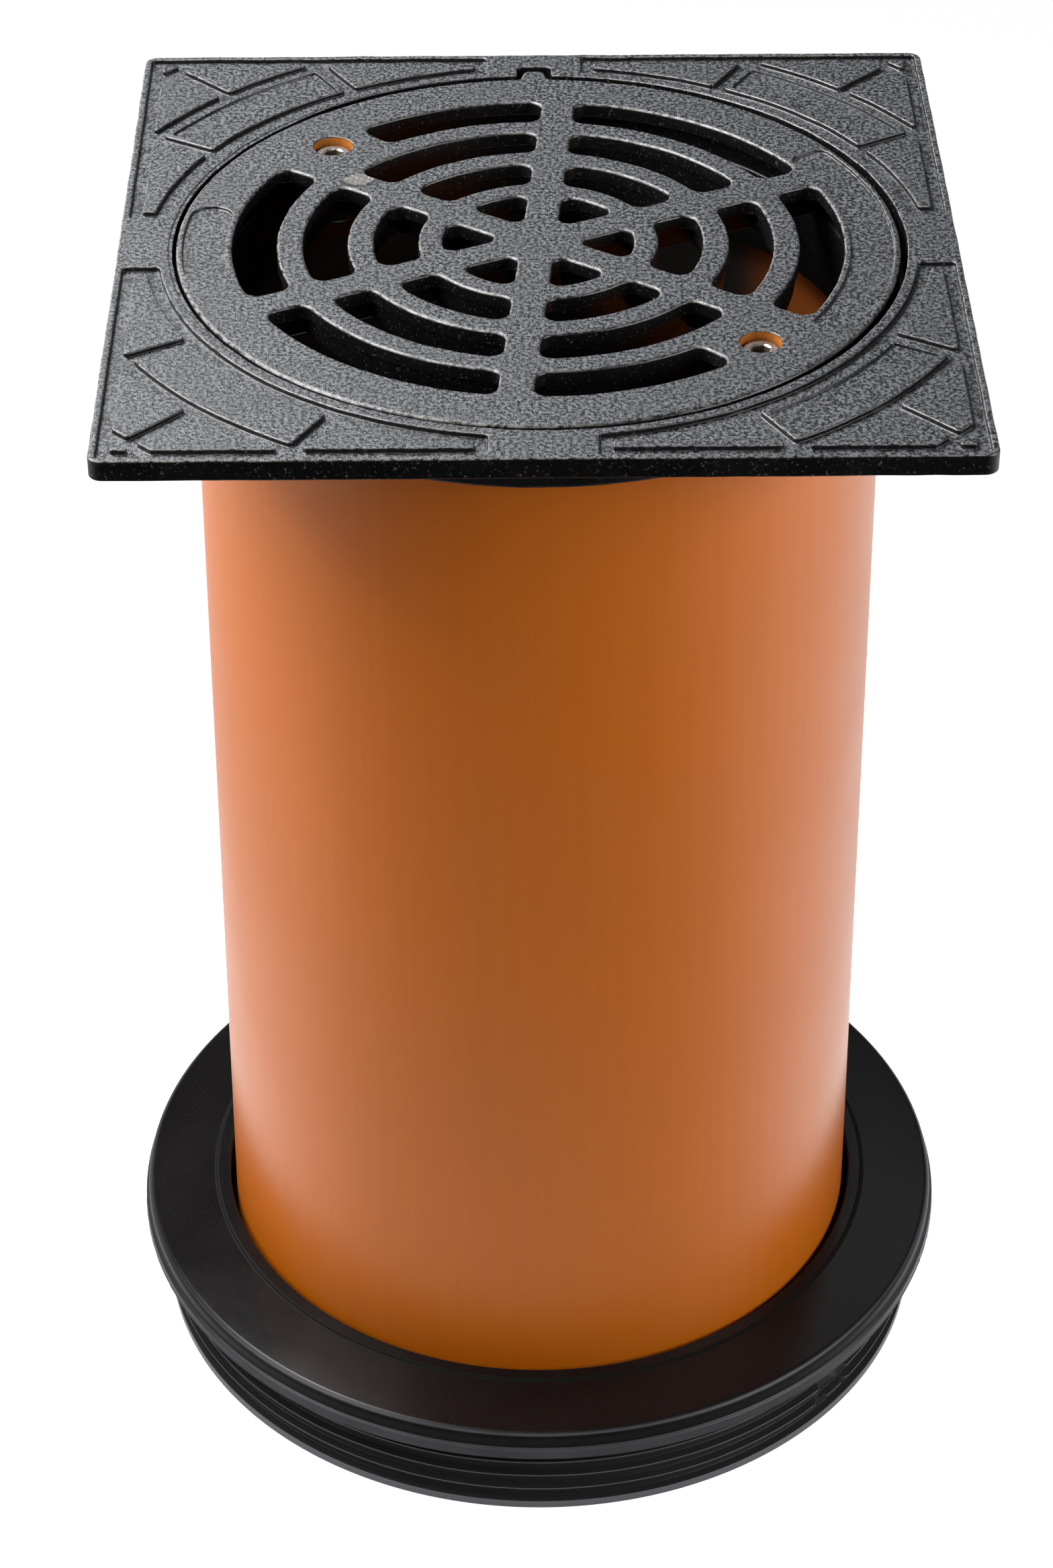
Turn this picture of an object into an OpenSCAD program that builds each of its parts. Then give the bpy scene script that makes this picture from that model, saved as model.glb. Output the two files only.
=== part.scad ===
// Square cast drain grate on a telescopic pipe, with a rubber ring that seals it to the riser pipe.
// Millimetres, +Z up. The pipe's lower end and the rubber ring both stand on z = 0.

/* [Pipe] */
// Outside diameter of the telescopic pipe
pipe_od = 315; // [250:1:330]
// Wall of the pipe
pipe_wall = 7.7; // [5:0.1:12]
// Length of the pipe
pipe_len = 575; // [300:5:1000]
// Length of the bevel on the pipe's lower end
pipe_bevel_len = 12; // [4:1:30]
// Depth of that bevel into the wall
pipe_bevel = 3; // [1:0.5:4]

/* [Frame plate] */
// Side of the square plate
plate_side = 380; // [376:1:460]
// Thickness of the plate
plate_t = 10; // [8:0.5:16]
// Corner radius of the plate
plate_corner_r = 6; // [3:0.5:14]
// Bevel along the plate's upper edges
plate_bevel = 1.2; // [0.5:0.1:2]
// Width of the raised border strip
rim_w = 3.2; // [2:0.1:5]
// Width of the grooves between the raised pads
groove_w = 5.8; // [3:0.1:7]
// Depth of the grooves
groove_depth = 2.5; // [1:0.1:4]
// Width of the plain bridge at the middle of each side
bridge_w = 46.4; // [30:0.2:70]
// Width of the raised ring round the recess
ring_w = 4.7; // [3:0.1:7]
// Radial width of the curved pad in each corner
arc_pad_w = 28; // [22:0.5:34]
// Angle from the corner's diagonal to the groove at each end of the curved pad
arc_pad_angle = 14.9; // [11:0.1:17]
// Leg of the small triangular pad in each corner
corner_pad_leg = 9; // [5:0.5:12]
// Plain margin round a sunk panel on a curved pad
inset_margin = 3; // [2:0.5:6]

/* [Frame body] */
// Gap between the grate and the frame round it
grate_gap = 3; // [1.5:0.1:5]
// Depth of the seat under the frame's top
seat_depth = 18; // [15:0.5:26]
// Thickness of the seat
seat_t = 7; // [5:0.5:12]
// Wall of the pot round the grate
pot_wall = 7; // [5:0.5:9]
// How much the pot narrows from the plate down to its foot
pot_draft = 2; // [0:0.5:4]
// Wall of the spigot that reaches down inside the pipe
spigot_wall = 6; // [4:0.5:8]
// Length of the spigot below the seat
spigot_len = 33; // [15:1:60]
// Radial clearance between spigot and pipe
spigot_gap = 0.3; // [0.1:0.1:1]
// Bevel at the spigot's lower edge
spigot_bevel = 2; // [0.5:0.5:3]
// Thickness of the four corner webs under the plate
web_t = 8; // [5:0.5:14]
// Height of the webs where they meet the pot
web_h = 14; // [6:1:15]
// How far each web stops short of the plate's corner
web_setback = 34; // [20:1:50]

/* [Grate] */
// Radius of the grate
grate_r = 164; // [158:0.5:165]
// Thickness of the slotted plate
grate_t = 7; // [5:0.5:10]
// Radius of the grate's rounded upper edge
grate_edge_r = 2; // [0.5:0.5:3]
// Width of the full-depth rim that lies on the seat
grate_rim_w = 19; // [16:0.5:21]
// Angle of the first spoke from the X axis
spoke_angle = 25.2; // [20:0.2:30]
// Width of the spokes between the slots
spoke_w = 15.8; // [10:0.2:18]
// Radial width of the slots
slot_w = 20; // [14:0.5:21]
// Width of the ring bars between the slots
bar_w = 12; // [10:0.5:15]
// Inner radius of the outermost slots
outer_slot_r = 118.5; // [115:0.5:119]
// Corner radius of the slots
slot_corner_r = 6; // [2:0.5:7]
// Radius of the arc that closes the hub openings outside
hub_hole_r = 43.3; // [38:0.1:45]
// Corner radius of the hub openings
hub_corner_r = 4.7; // [3:0.1:5.5]
// Width of the ribs under the spokes, at their foot
rib_w = 7; // [4:0.5:9]
// Distance from the edge of a slot to the rib under the ring bar
rib_step = 0.8; // [0.5:0.1:1.5]
// How much the ribs narrow on each side from plate to foot
rib_draft = 1.2; // [0:0.1:2]
// Radius of the hub's boss under the plate
hub_boss_r = 17; // [10:0.5:19]
// Width of the locating tab at its root
tab_w = 13.4; // [10:0.2:20]
// Width of the tab at its tip
tab_tip_w = 9; // [8:0.5:10]
// Corner radius of the tab's tip
tab_tip_r = 3.5; // [1:0.5:4]
// How far the tab stands out of the grate
tab_len = 8.5; // [6:0.5:9]
// Gap on each side of the tab in its notch
tab_gap = 1.6; // [0.5:0.1:3]
// Gap between the tab and the end of its notch
tab_end_gap = 4; // [1:0.5:5]
// Corner radius of the notch
notch_r = 3; // [1:0.5:5]

/* [Sunk panels] */
// Depth of the sunk panels on the grate and the frame
panel_depth = 1.5; // [0.5:0.1:2]
// Inner radius of the two panels on the grate
panel_r_in = 141.5; // [140:0.1:145]
// Radial width of those panels
panel_w = 19.5; // [12:0.5:20]
// Half angle of the long panel on the right
long_panel_angle = 33.5; // [10:0.5:38]
// Half angle of the short panel on the left
short_panel_angle = 13; // [8:0.5:18]
// Corner radius of the long panel
long_panel_corner_r = 6; // [2:0.5:8]

/* [Screws] */
// Radius of the circle on which the screws lie
screw_circle_r = 134; // [132:0.5:135]
// Angle of the rear left screw from the X axis
screw_angle = 135.5; // [134:0.5:137]
// Thread diameter
screw_d = 10; // [8:1:10]
// Head diameter
head_d = 16; // [14:0.5:17]
// Head height
head_h = 10; // [8:0.5:11]
// Hexagon across flats
hex_af = 8; // [6:0.5:9]
// Depth of the hexagon socket
hex_depth = 5; // [3:0.5:6]
// Length of the shank below the head
shank_len = 18; // [14:1:22]
// Depth of the head's top below the grate's top
head_sink = 3.8; // [1:0.1:4]
// Radial clearance of the counterbore round the head
head_gap = 1.3; // [0.5:0.1:2]
// Radial clearance of the hole round the shank
shank_gap = 0.5; // [0.3:0.1:1]
// Radial clearance of the tapped hole in the frame's lug
thread_gap = 0.1; // [0.05:0.05:0.2]
// Radius of the lugs and bosses round the screws
lug_r = 13; // [12:0.5:14]
// Height of the lugs under the seat's top
lug_h = 17; // [16:1:30]
// Distance from a screw's radius to the end of the slot beside it
screw_land = 20.7; // [18:0.1:24]

/* [Rubber ring] */
// Radial clearance between the ring's inner lips and the pipe
lip_gap = 0.3; // [0.1:0.1:1]
// Gap between the flange's inner edge and the pipe
flange_gap = 3; // [2:0.5:5]
// Radius of the outer lips
lip_r = 194; // [180:0.5:220]
// How far the outer lips stand out of the wall that carries them
lip_depth = 4; // [2:0.5:6]
// How far the flange stands out beyond the outer lips
flange_overhang = 11; // [5:0.5:20]
// Thickness of the wall that carries the outer lips
wall_t = 6; // [4:0.5:8]
// Height of the flange's underside
flange_z = 44; // [40:0.5:60]
// Height of the flange's rim band
rim_band_h = 5; // [3:0.5:8]
// Height of the flange's shoulder above its underside
shoulder_h = 13.5; // [11:0.5:18]
// Height of the flange's inner edge above its underside
crown_h = 16; // [14:0.5:20]
// Radius of the rounded shoulder
shoulder_r = 4; // [2:0.5:5]
// Depth of the groove between rim band and shoulder
rim_groove = 2; // [0.5:0.5:3]
// Height of the lowest lip's outer face
foot_band_h = 4.3; // [2:0.1:6]
// Distance from one outer lip to the next
lip_pitch = 8.8; // [7:0.1:9]
// Height of the outer face of the upper lips
lip_edge = 0.7; // [0.3:0.1:2]
// Rise of the outer lips' upper side from its edge to the wall
lip_rise = 0.6; // [0.2:0.1:2]
// Fall of the outer lips' underside from its edge to the wall
lip_fall = 2; // [1:0.1:3]
// Thickness of the inner lips
inner_lip_t = 3; // [2:0.5:4]
// Thickness of the inner skirt that carries the inner lips
skirt_t = 4; // [3:0.5:6]
// Height of the inner skirt's lower end
skirt_z = 14; // [8:1:20]
// Width of the flange's inner collar band
collar_w = 7; // [4:0.5:12]
// Height of the step between collar band and flange
collar_step = 0.6; // [0.3:0.1:1.2]
// Angle of the break in the outer lips from the X axis
break_angle = -41.5; // [-90:0.5:90]
// Length of the break along the lips
break_w = 13; // [8:1:30]

/* [Hidden] */

// Facets on round shapes
$fn = 120;
// Overlap that makes two cuts or joined pieces meet cleanly
eps = 0.05;
// Steps in each arc that is drawn by its points
arc_steps = 6;
// Number of spokes and of slots in each ring
spoke_count = 6;
// Number of rings of slots
slot_ring_count = 3;
// Number of outer lips
lip_count = 4;

// Heights of the pipe's top end, the seat and the top of the whole part
pipe_top = pipe_len;
seat_z = pipe_top + seat_t;
top_z = seat_z + seat_depth;

// Frame radii, from the grate outwards and from the pipe inwards
recess_r = grate_r + grate_gap;
ring_r = recess_r + ring_w;
pot_r = recess_r + pot_wall;
pipe_r = pipe_od / 2;
pipe_bore_r = pipe_r - pipe_wall;
spigot_r = pipe_bore_r - spigot_gap;
spigot_bore_r = spigot_r - spigot_wall;

// Grooves in the plate, each by its centre line
plate_half = plate_side / 2;
border_groove_half = plate_half - rim_w - groove_w / 2;
ring_groove_r = ring_r + groove_w / 2;
arc_groove_r = ring_groove_r + groove_w + arc_pad_w;
pad_half = plate_half - rim_w - groove_w;

// Screw places and the depth at which the heads sit in the grate
screw_angles = [screw_angle, screw_angle + 180];
head_seat_z = top_z - head_sink - head_h;

// Rubber ring radii
lip_bore_r = pipe_r + lip_gap;
flange_bore_r = pipe_r + flange_gap;
skirt_r = flange_bore_r + skirt_t;
flange_r = lip_r + flange_overhang;
wall_r = lip_r - lip_depth;

// Flat ring between two radii
module annulus(r_in, r_out) {
    difference() {
        circle(r = r_out);
        circle(r = r_in);
    }
}

// Point at distance r from the centre, a distance off to the left of the ray at angle a
function beside_ray(r, a, off) =
    let (along = sqrt(r * r - off * off))
    [along * cos(a) - off * sin(a), along * sin(a) + off * cos(a)];

// Region between two rays, each moved inwards by its own distance
module between_rays(a1, off1, a2, off2, reach) {
    start = beside_ray(reach, a1, off1);
    end = beside_ray(reach, a2, -off2);
    foot1 = [-off1 * sin(a1), off1 * cos(a1)];
    foot2 = [off2 * sin(a2), -off2 * cos(a2)];
    // Where the two moved rays cross, or the centre where they don't move
    turn = sin(a2 - a1);
    along1 = (off2 + off1 * cos(a2 - a1)) / turn;
    cross = foot1 + along1 * [cos(a1), sin(a1)];
    polygon([cross, start, end]);
}

// Curved slot between two rays, with rounded corners
module curved_slot(r_in, r_out, a1, off1, a2, off2, corner_r) {
    reach = r_out * 1.6;
    intersection() {
        annulus(r_in + corner_r, r_out - corner_r);
        between_rays(a1, off1, a2, off2, reach);
    }
    intersection() {
        annulus(r_in, r_out);
        between_rays(a1, off1 + corner_r, a2, off2 + corner_r, reach);
    }
    for (r = [r_in + corner_r, r_out - corner_r]) {
        translate(beside_ray(r, a1, off1 + corner_r)) circle(r = corner_r);
        translate(beside_ray(r, a2, -off2 - corner_r)) circle(r = corner_r);
    }
}

// Points of an arc about a centre, in equal steps from one angle to another
function arc_points(centre, r, from, to, steps) =
    [for (i = [0 : steps]) let (a = from + (to - from) * i / steps) centre + r * [cos(a), sin(a)]];

// Rounded three-sided opening between two spokes, next to the hub
module hub_opening(a1, a2) {
    edge_off = spoke_w / 2 + hub_corner_r;
    half_turn = (a2 - a1) / 2;
    tip = [edge_off / sin(half_turn), 0];
    corner = beside_ray(hub_hole_r - hub_corner_r, -half_turn, edge_off);
    swing = -atan2(corner[1], corner[0]);
    outer_arc = [for (i = [1 : arc_steps - 1]) hub_hole_r * [cos(swing * (2 * i / arc_steps - 1)),
                                                             sin(swing * (2 * i / arc_steps - 1))]];
    rotate((a1 + a2) / 2)
        polygon(concat(
            arc_points(tip, hub_corner_r, 90 + half_turn, 270 - half_turn, arc_steps),
            arc_points(corner, hub_corner_r, -90 - half_turn, -swing, arc_steps),
            outer_arc,
            arc_points([corner[0], -corner[1]], hub_corner_r, swing, 90 + half_turn, arc_steps)));
}

// Inner radius of one ring of slots, counted from the outside
function slot_r(ring) = outer_slot_r - ring * (slot_w + bar_w);

// All slots of the grate. An outer slot that would run into a screw stops beside it.
module grate_slots() {
    half_spoke = spoke_w / 2;
    for (i = [0 : spoke_count - 1]) {
        a1 = spoke_angle + i * 360 / spoke_count;
        a2 = a1 + 360 / spoke_count;
        for (ring = [1 : slot_ring_count - 1])
            curved_slot(slot_r(ring), slot_r(ring) + slot_w, a1, half_spoke, a2, half_spoke, slot_corner_r);
        near = [for (s = screw_angles) if (s > a1 && s < a2) s];
        end_angle = len(near) > 0 ? near[0] : a2;
        end_off = len(near) > 0 ? screw_land : half_spoke;
        curved_slot(outer_slot_r, outer_slot_r + slot_w, a1, half_spoke, end_angle, end_off, slot_corner_r);
        hub_opening(a1, a2);
    }
}

// Straight-sided tongue along +Y whose end has rounded corners
module tongue(root_half, tip_half, root_y, tip_y, corner_r) {
    shoulder_y = tip_y - corner_r;
    polygon([[-root_half, root_y], [root_half, root_y], [tip_half, shoulder_y], [-tip_half, shoulder_y]]);
    translate([corner_r - tip_half, shoulder_y - eps]) square([2 * (tip_half - corner_r), corner_r + eps]);
    for (side = [-1, 1]) translate([side * (tip_half - corner_r), shoulder_y]) circle(r = corner_r);
}

// Locating tab on the grate's rear edge
module tab_outline() {
    tongue(tab_w / 2, tab_tip_w / 2, grate_r - grate_edge_r - eps, grate_r + tab_len, tab_tip_r);
}

// Notch in the frame for that tab
module notch_outline() {
    half = tab_w / 2 + tab_gap;
    tongue(half, half, recess_r / 2, grate_r + tab_len + tab_end_gap, notch_r);
}

// Tapered ring rib under the ring bar between two radii
module ring_rib(r_in, r_out) {
    rib_top = top_z - grate_t + eps;
    foot_step = rib_step + rib_draft;
    rotate_extrude()
        polygon([[r_in + foot_step, seat_z], [r_out - foot_step, seat_z],
                 [r_out - rib_step, rib_top], [r_in + rib_step, rib_top]]);
}

// Tapered straight rib under a spoke
module spoke_rib(a) {
    half_foot = rib_w / 2;
    half_top = half_foot + rib_draft;
    rib_top = top_z - grate_t + eps;
    rotate([0, 0, a]) rotate([90, 0, 90])
        linear_extrude(grate_r - grate_rim_w / 2)
            polygon([[-half_foot, seat_z], [half_foot, seat_z], [half_top, rib_top], [-half_top, rib_top]]);
}

// Places two children at the screws
module at_screws() {
    for (a = screw_angles) rotate([0, 0, a]) translate([screw_circle_r, 0, 0]) children();
}

// Disc of the grate with its rounded upper edge
module grate_disc() {
    edge_centre = [grate_r - grate_edge_r, top_z - grate_edge_r];
    rotate_extrude()
        polygon(concat([[0, top_z - grate_t], [grate_r, top_z - grate_t]],
                       arc_points(edge_centre, grate_edge_r, 0, 90, arc_steps), [[0, top_z]]));
}

// Round cast grate with slots, ribs, screw bosses and a locating tab
module grate() {
    color("dimgray")
    difference() {
        union() {
            difference() {
                grate_disc();
                translate([0, 0, top_z - grate_t - eps]) linear_extrude(grate_t + 2 * eps) grate_slots();
            }
            translate([0, 0, top_z - grate_t]) linear_extrude(grate_t) tab_outline();
            // Full-depth rim that lies on the seat
            translate([0, 0, seat_z])
                linear_extrude(seat_depth - grate_t + eps)
                    annulus(grate_r - grate_rim_w, grate_r);
            for (ring = [0 : slot_ring_count - 2]) ring_rib(slot_r(ring) - bar_w, slot_r(ring));
            ring_rib(hub_hole_r, slot_r(slot_ring_count - 1));
            for (i = [0 : spoke_count - 1]) spoke_rib(spoke_angle + i * 360 / spoke_count);
            translate([0, 0, seat_z]) cylinder(r = hub_boss_r, h = seat_depth - grate_t + eps);
            at_screws() translate([0, 0, seat_z]) cylinder(r = lug_r, h = seat_depth - eps);
        }
        at_screws() {
            translate([0, 0, head_seat_z]) cylinder(d = head_d + 2 * head_gap, h = top_z - head_seat_z + eps);
            translate([0, 0, seat_z - eps]) cylinder(d = screw_d + 2 * shank_gap, h = seat_depth);
        }
        translate([0, 0, top_z - panel_depth])
            linear_extrude(panel_depth + eps) {
                curved_slot(panel_r_in, panel_r_in + panel_w, -long_panel_angle, 0, long_panel_angle, 0,
                            long_panel_corner_r);
                curved_slot(panel_r_in, panel_r_in + panel_w, 180 - short_panel_angle, 0,
                            180 + short_panel_angle, 0, panel_w / 2 - eps);
            }
    }
}

// Bar along X with bevelled upper edges, standing on z = 0
module bevelled_bar(length, width, h, bevel) {
    half = width / 2;
    rotate([90, 0, 90])
        linear_extrude(length, center = true)
            polygon([[-half, 0], [half, 0], [half, h - bevel], [half - bevel, h], [bevel - half, h],
                     [-half, h - bevel]]);
}

// Square plate with round corners and bevelled upper edges, made of two bars and four discs
module square_plate(side, r, h, bevel) {
    centre = side / 2 - r;
    for (a = [0, 90]) rotate([0, 0, a]) bevelled_bar(2 * centre, side, h, bevel);
    for (x = [-centre, centre], y = [-centre, centre])
        translate([x, y, 0])
            rotate_extrude()
                polygon([[0, 0], [r, 0], [r, h - bevel], [r - bevel, h], [0, h]]);
}

// Square ring with a given centre line and width
module square_ring(half, w) {
    difference() {
        square(2 * half + w, center = true);
        square(2 * half - w, center = true);
    }
}

// Grooves of one corner, drawn for the corner on the X axis
module corner_grooves() {
    diagonal = plate_half * sqrt(2);
    pad_corner = pad_half * sqrt(2);
    cross_x = pad_corner - corner_pad_leg / sqrt(2) - groove_w / 2;
    intersection() {
        annulus(arc_groove_r - groove_w / 2, arc_groove_r + groove_w / 2);
        between_rays(-arc_pad_angle, 0, arc_pad_angle, 0, diagonal * 1.5);
    }
    // The groove along the diagonal and the one across it
    translate([arc_groove_r, -groove_w / 2]) square([cross_x - arc_groove_r, groove_w]);
    translate([cross_x - groove_w / 2, -groove_w * 2]) square([groove_w, groove_w * 4]);
    for (a = [-arc_pad_angle, arc_pad_angle])
        rotate(a) translate([ring_groove_r, -groove_w / 2]) square([diagonal - ring_groove_r, groove_w]);
}

// Whole groove pattern of the plate
module groove_pattern() {
    reach = border_groove_half + groove_w / 2;
    difference() {
        intersection() {
            square(2 * reach, center = true);
            union() {
                square_ring(border_groove_half, groove_w);
                annulus(ring_r, ring_r + groove_w);
                for (i = [0 : 3]) {
                    rotate(45 + i * 90) corner_grooves();
                    rotate(i * 90)
                        for (s = [-1, 1])
                            translate([ring_r, s * (bridge_w + groove_w) / 2 - groove_w / 2])
                                square([plate_half - ring_r, groove_w]);
                }
            }
        }
        // Plain bridges and the raised ring stay at full height
        square([plate_side, bridge_w], center = true);
        square([bridge_w, plate_side], center = true);
        circle(r = ring_r);
    }
}

// Sunk panel on the curved pad of one corner
module pad_inset(corner) {
    r_in = ring_groove_r + groove_w / 2 + inset_margin;
    r_out = arc_groove_r - groove_w / 2 - inset_margin;
    off = groove_w / 2 + inset_margin;
    curved_slot(r_in, r_out, corner - arc_pad_angle, off, corner + arc_pad_angle, off, inset_margin / 2);
}

// Pot, seat and spigot, turned in one
module frame_pot() {
    rotate_extrude()
        polygon([[recess_r, top_z - eps], [recess_r, seat_z], [spigot_bore_r, seat_z],
                 [spigot_bore_r, pipe_top - spigot_len], [spigot_r - spigot_bevel, pipe_top - spigot_len],
                 [spigot_r, pipe_top - spigot_len + spigot_bevel], [spigot_r, pipe_top],
                 [pot_r, pipe_top], [pot_r + pot_draft, top_z - plate_t + eps],
                 [pot_r + pot_draft, top_z - eps]]);
}

// Web under one corner of the plate, from the pot outwards
module corner_web() {
    under = top_z - plate_t + eps;
    rotate([90, 0, 0])
        translate([0, 0, -web_t / 2])
            linear_extrude(web_t)
                polygon([[pot_r - pot_wall / 2, under], [plate_half * sqrt(2) - web_setback, under],
                         [pot_r - pot_wall / 2, under - web_h]]);
}

// Square cast frame with its grooved top, pot, seat, spigot and screw lugs
module frame() {
    color("dimgray")
    difference() {
        union() {
            difference() {
                translate([0, 0, top_z - plate_t]) square_plate(plate_side, plate_corner_r, plate_t, plate_bevel);
                translate([0, 0, top_z - plate_t - eps]) cylinder(r = recess_r, h = plate_t + 2 * eps);
            }
            frame_pot();
            for (i = [0 : 3]) rotate([0, 0, 45 + i * 90]) corner_web();
            at_screws() translate([0, 0, seat_z - lug_h]) cylinder(r = lug_r, h = lug_h);
        }
        translate([0, 0, top_z - groove_depth]) linear_extrude(groove_depth + eps) groove_pattern();
        translate([0, 0, top_z - panel_depth])
            linear_extrude(panel_depth + eps)
                for (corner = [-45, 45, 135]) pad_inset(corner);
        // Notch for the grate's tab
        translate([0, 0, top_z - grate_t - tab_gap])
            linear_extrude(grate_t + tab_gap + eps)
                notch_outline();
        at_screws() translate([0, 0, seat_z - lug_h - eps])
            cylinder(d = screw_d + 2 * thread_gap, h = lug_h + 2 * eps);
    }
}

// Telescopic pipe with a bevelled lower end
module pipe() {
    color("chocolate")
    rotate_extrude()
        polygon([[pipe_bore_r, 0], [pipe_r - pipe_bevel, 0], [pipe_r, pipe_bevel_len], [pipe_r, pipe_top],
                 [pipe_bore_r, pipe_top]]);
}

// Height of the top of one outer lip's face, counted from the lowest
function lip_z(i) = foot_band_h + i * lip_pitch;

// Outline of the outer lips, from the foot up
function lip_points() = [
    for (i = [0 : lip_count - 1], p = [
        if (i > 0) [wall_r, lip_z(i) - lip_edge - lip_fall],
        if (i > 0) [lip_r, lip_z(i) - lip_edge],
        [lip_r, lip_z(i)],
        [wall_r, lip_z(i) + lip_rise]
    ]) p
];

// Outline of the flange, from its underside over the rim, the shoulder and the crown to the bore
function flange_points() = let (
    band_z = flange_z + rim_band_h,
    groove_r = flange_r - rim_groove,
    arc_z = flange_z + shoulder_h - shoulder_r,
    crown_z = flange_z + crown_h,
    collar_r = flange_bore_r + collar_w
) concat(
    [[wall_r, flange_z], [flange_r, flange_z], [flange_r, band_z], [groove_r, band_z + rim_groove / 2]],
    arc_points([groove_r - shoulder_r, arc_z], shoulder_r, 0, 75, arc_steps),
    [[collar_r, crown_z - collar_step], [collar_r, crown_z], [flange_bore_r, crown_z]]
);

// Outline of the inner skirt with its two lips, from the flange's bore down
function skirt_points() = let (
    upper_z = flange_z - inner_lip_t,
    lower_z = skirt_z + inner_lip_t
) [
    [flange_bore_r, upper_z + inner_lip_t], [lip_bore_r, upper_z], [lip_bore_r, upper_z - inner_lip_t / 2],
    [flange_bore_r, upper_z - inner_lip_t / 2],
    [flange_bore_r, lower_z + inner_lip_t], [lip_bore_r, lower_z], [lip_bore_r, skirt_z], [skirt_r, skirt_z],
    [skirt_r, flange_z], [wall_r - wall_t, flange_z], [wall_r - wall_t, 0], [lip_r, 0]
];

// Moulded rubber ring: flange, outer lips for the riser pipe, inner lips for the telescopic pipe
module seal() {
    color("black")
    difference() {
        rotate_extrude() polygon(concat(lip_points(), flange_points(), skirt_points()));
        // Break in the upper three lips
        rotate([0, 0, break_angle])
            translate([wall_r, -break_w / 2, lip_z(0) + lip_rise + eps])
                cube([lip_r - wall_r + eps, break_w, lip_z(lip_count - 1) - lip_z(0)]);
    }
}

// Socket head cap screw, modelled at the origin of its hole
module cap_screw() {
    head_bevel = head_d / 20;
    color("silver")
    difference() {
        rotate_extrude()
            polygon([[0, head_seat_z - shank_len], [screw_d / 2 - head_bevel, head_seat_z - shank_len],
                     [screw_d / 2, head_seat_z - shank_len + head_bevel], [screw_d / 2, head_seat_z],
                     [head_d / 2, head_seat_z], [head_d / 2, head_seat_z + head_h - head_bevel],
                     [head_d / 2 - head_bevel, head_seat_z + head_h], [0, head_seat_z + head_h]]);
        translate([0, 0, head_seat_z + head_h - hex_depth])
            cylinder(d = hex_af / cos(30), h = hex_depth + eps, $fn = 6);
    }
}

// Screw at the given angle of the screw circle
module screw_at(a) {
    rotate([0, 0, a]) translate([screw_circle_r, 0, 0]) cap_screw();
}

module screw_rear_left() { screw_at(screw_angles[0]); }
module screw_front_right() { screw_at(screw_angles[1]); }

frame();
grate();
pipe();
seal();
screw_rear_left();
screw_front_right();
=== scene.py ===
import math

import bmesh
import bpy
from mathutils import Matrix, Vector, noise


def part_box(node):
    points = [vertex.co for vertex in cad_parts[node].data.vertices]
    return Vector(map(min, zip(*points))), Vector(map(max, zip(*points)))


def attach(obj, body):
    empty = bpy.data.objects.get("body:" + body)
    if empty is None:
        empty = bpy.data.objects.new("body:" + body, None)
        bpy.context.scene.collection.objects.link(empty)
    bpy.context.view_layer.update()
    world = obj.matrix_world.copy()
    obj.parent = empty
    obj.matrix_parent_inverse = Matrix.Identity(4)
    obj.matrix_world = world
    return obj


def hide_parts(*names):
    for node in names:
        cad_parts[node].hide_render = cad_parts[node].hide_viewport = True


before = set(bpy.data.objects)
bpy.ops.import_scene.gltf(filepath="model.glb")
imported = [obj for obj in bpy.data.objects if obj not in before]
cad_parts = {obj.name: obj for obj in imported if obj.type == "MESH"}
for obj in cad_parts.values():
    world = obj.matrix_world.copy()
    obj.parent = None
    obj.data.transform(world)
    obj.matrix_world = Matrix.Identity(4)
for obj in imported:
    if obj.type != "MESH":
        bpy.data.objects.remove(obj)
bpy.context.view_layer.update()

# All sizes are in millimetres and degrees; MM turns them into metres.
MM = 0.001

# Blender's vector noise starts from the clock unless it has a seed
NOISE_SEED = 8
noise.seed_set(NOISE_SEED)

# Heights, and how far one shell of a casting reaches into the next
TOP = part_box("frame")[1].z / MM
SEAT_DEPTH = 18.0
SEAT_Z = TOP - SEAT_DEPTH
SEAT_T = 7.0
PIPE_TOP = SEAT_Z - SEAT_T
OVERLAP = 0.05
WIDE_OVERLAP = 0.3

# Pipe
PIPE_R = 157.5
PIPE_WALL = 7.7
PIPE_BORE_R = PIPE_R - PIPE_WALL
PIPE_BEVEL = 3.0
PIPE_BEVEL_LEN = 12.0

# Frame: the plate with its rim, grooves and raised pads
PLATE_HALF = 190.0
PLATE_T = 10.0
PLATE_CORNER_R = 6.0
PLATE_ARRIS = 1.1
PLATE_LOWER_ARRIS = 0.9
RIM_W = 3.2
GROOVE_W = 5.8
GROOVE_DEPTH = 2.5
BRIDGE_HALF = 23.2
RECESS_R = 167.0
RECESS_ARRIS = 0.8
RING_W = 4.7
ARC_PAD_W = 28.0
ARC_PAD_ANGLE = 14.9
CORNER_PAD_LEG = 9.0
CORNER_PAD_R = 1.2
INSET_MARGIN = 3.0
PAD_CORNER_R = 1.8
PAD_ARRIS = 0.75
PAD_FOOT = 0.7

RING_R = RECESS_R + RING_W
RING_GROOVE_OUT = RING_R + GROOVE_W
ARC_GROOVE_IN = RING_GROOVE_OUT + ARC_PAD_W
ARC_GROOVE_OUT = ARC_GROOVE_IN + GROOVE_W
PAD_HALF = PLATE_HALF - RIM_W - GROOVE_W
RIM_IN = PLATE_HALF - RIM_W
SIDE_EDGE = BRIDGE_HALF + GROOVE_W

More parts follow.
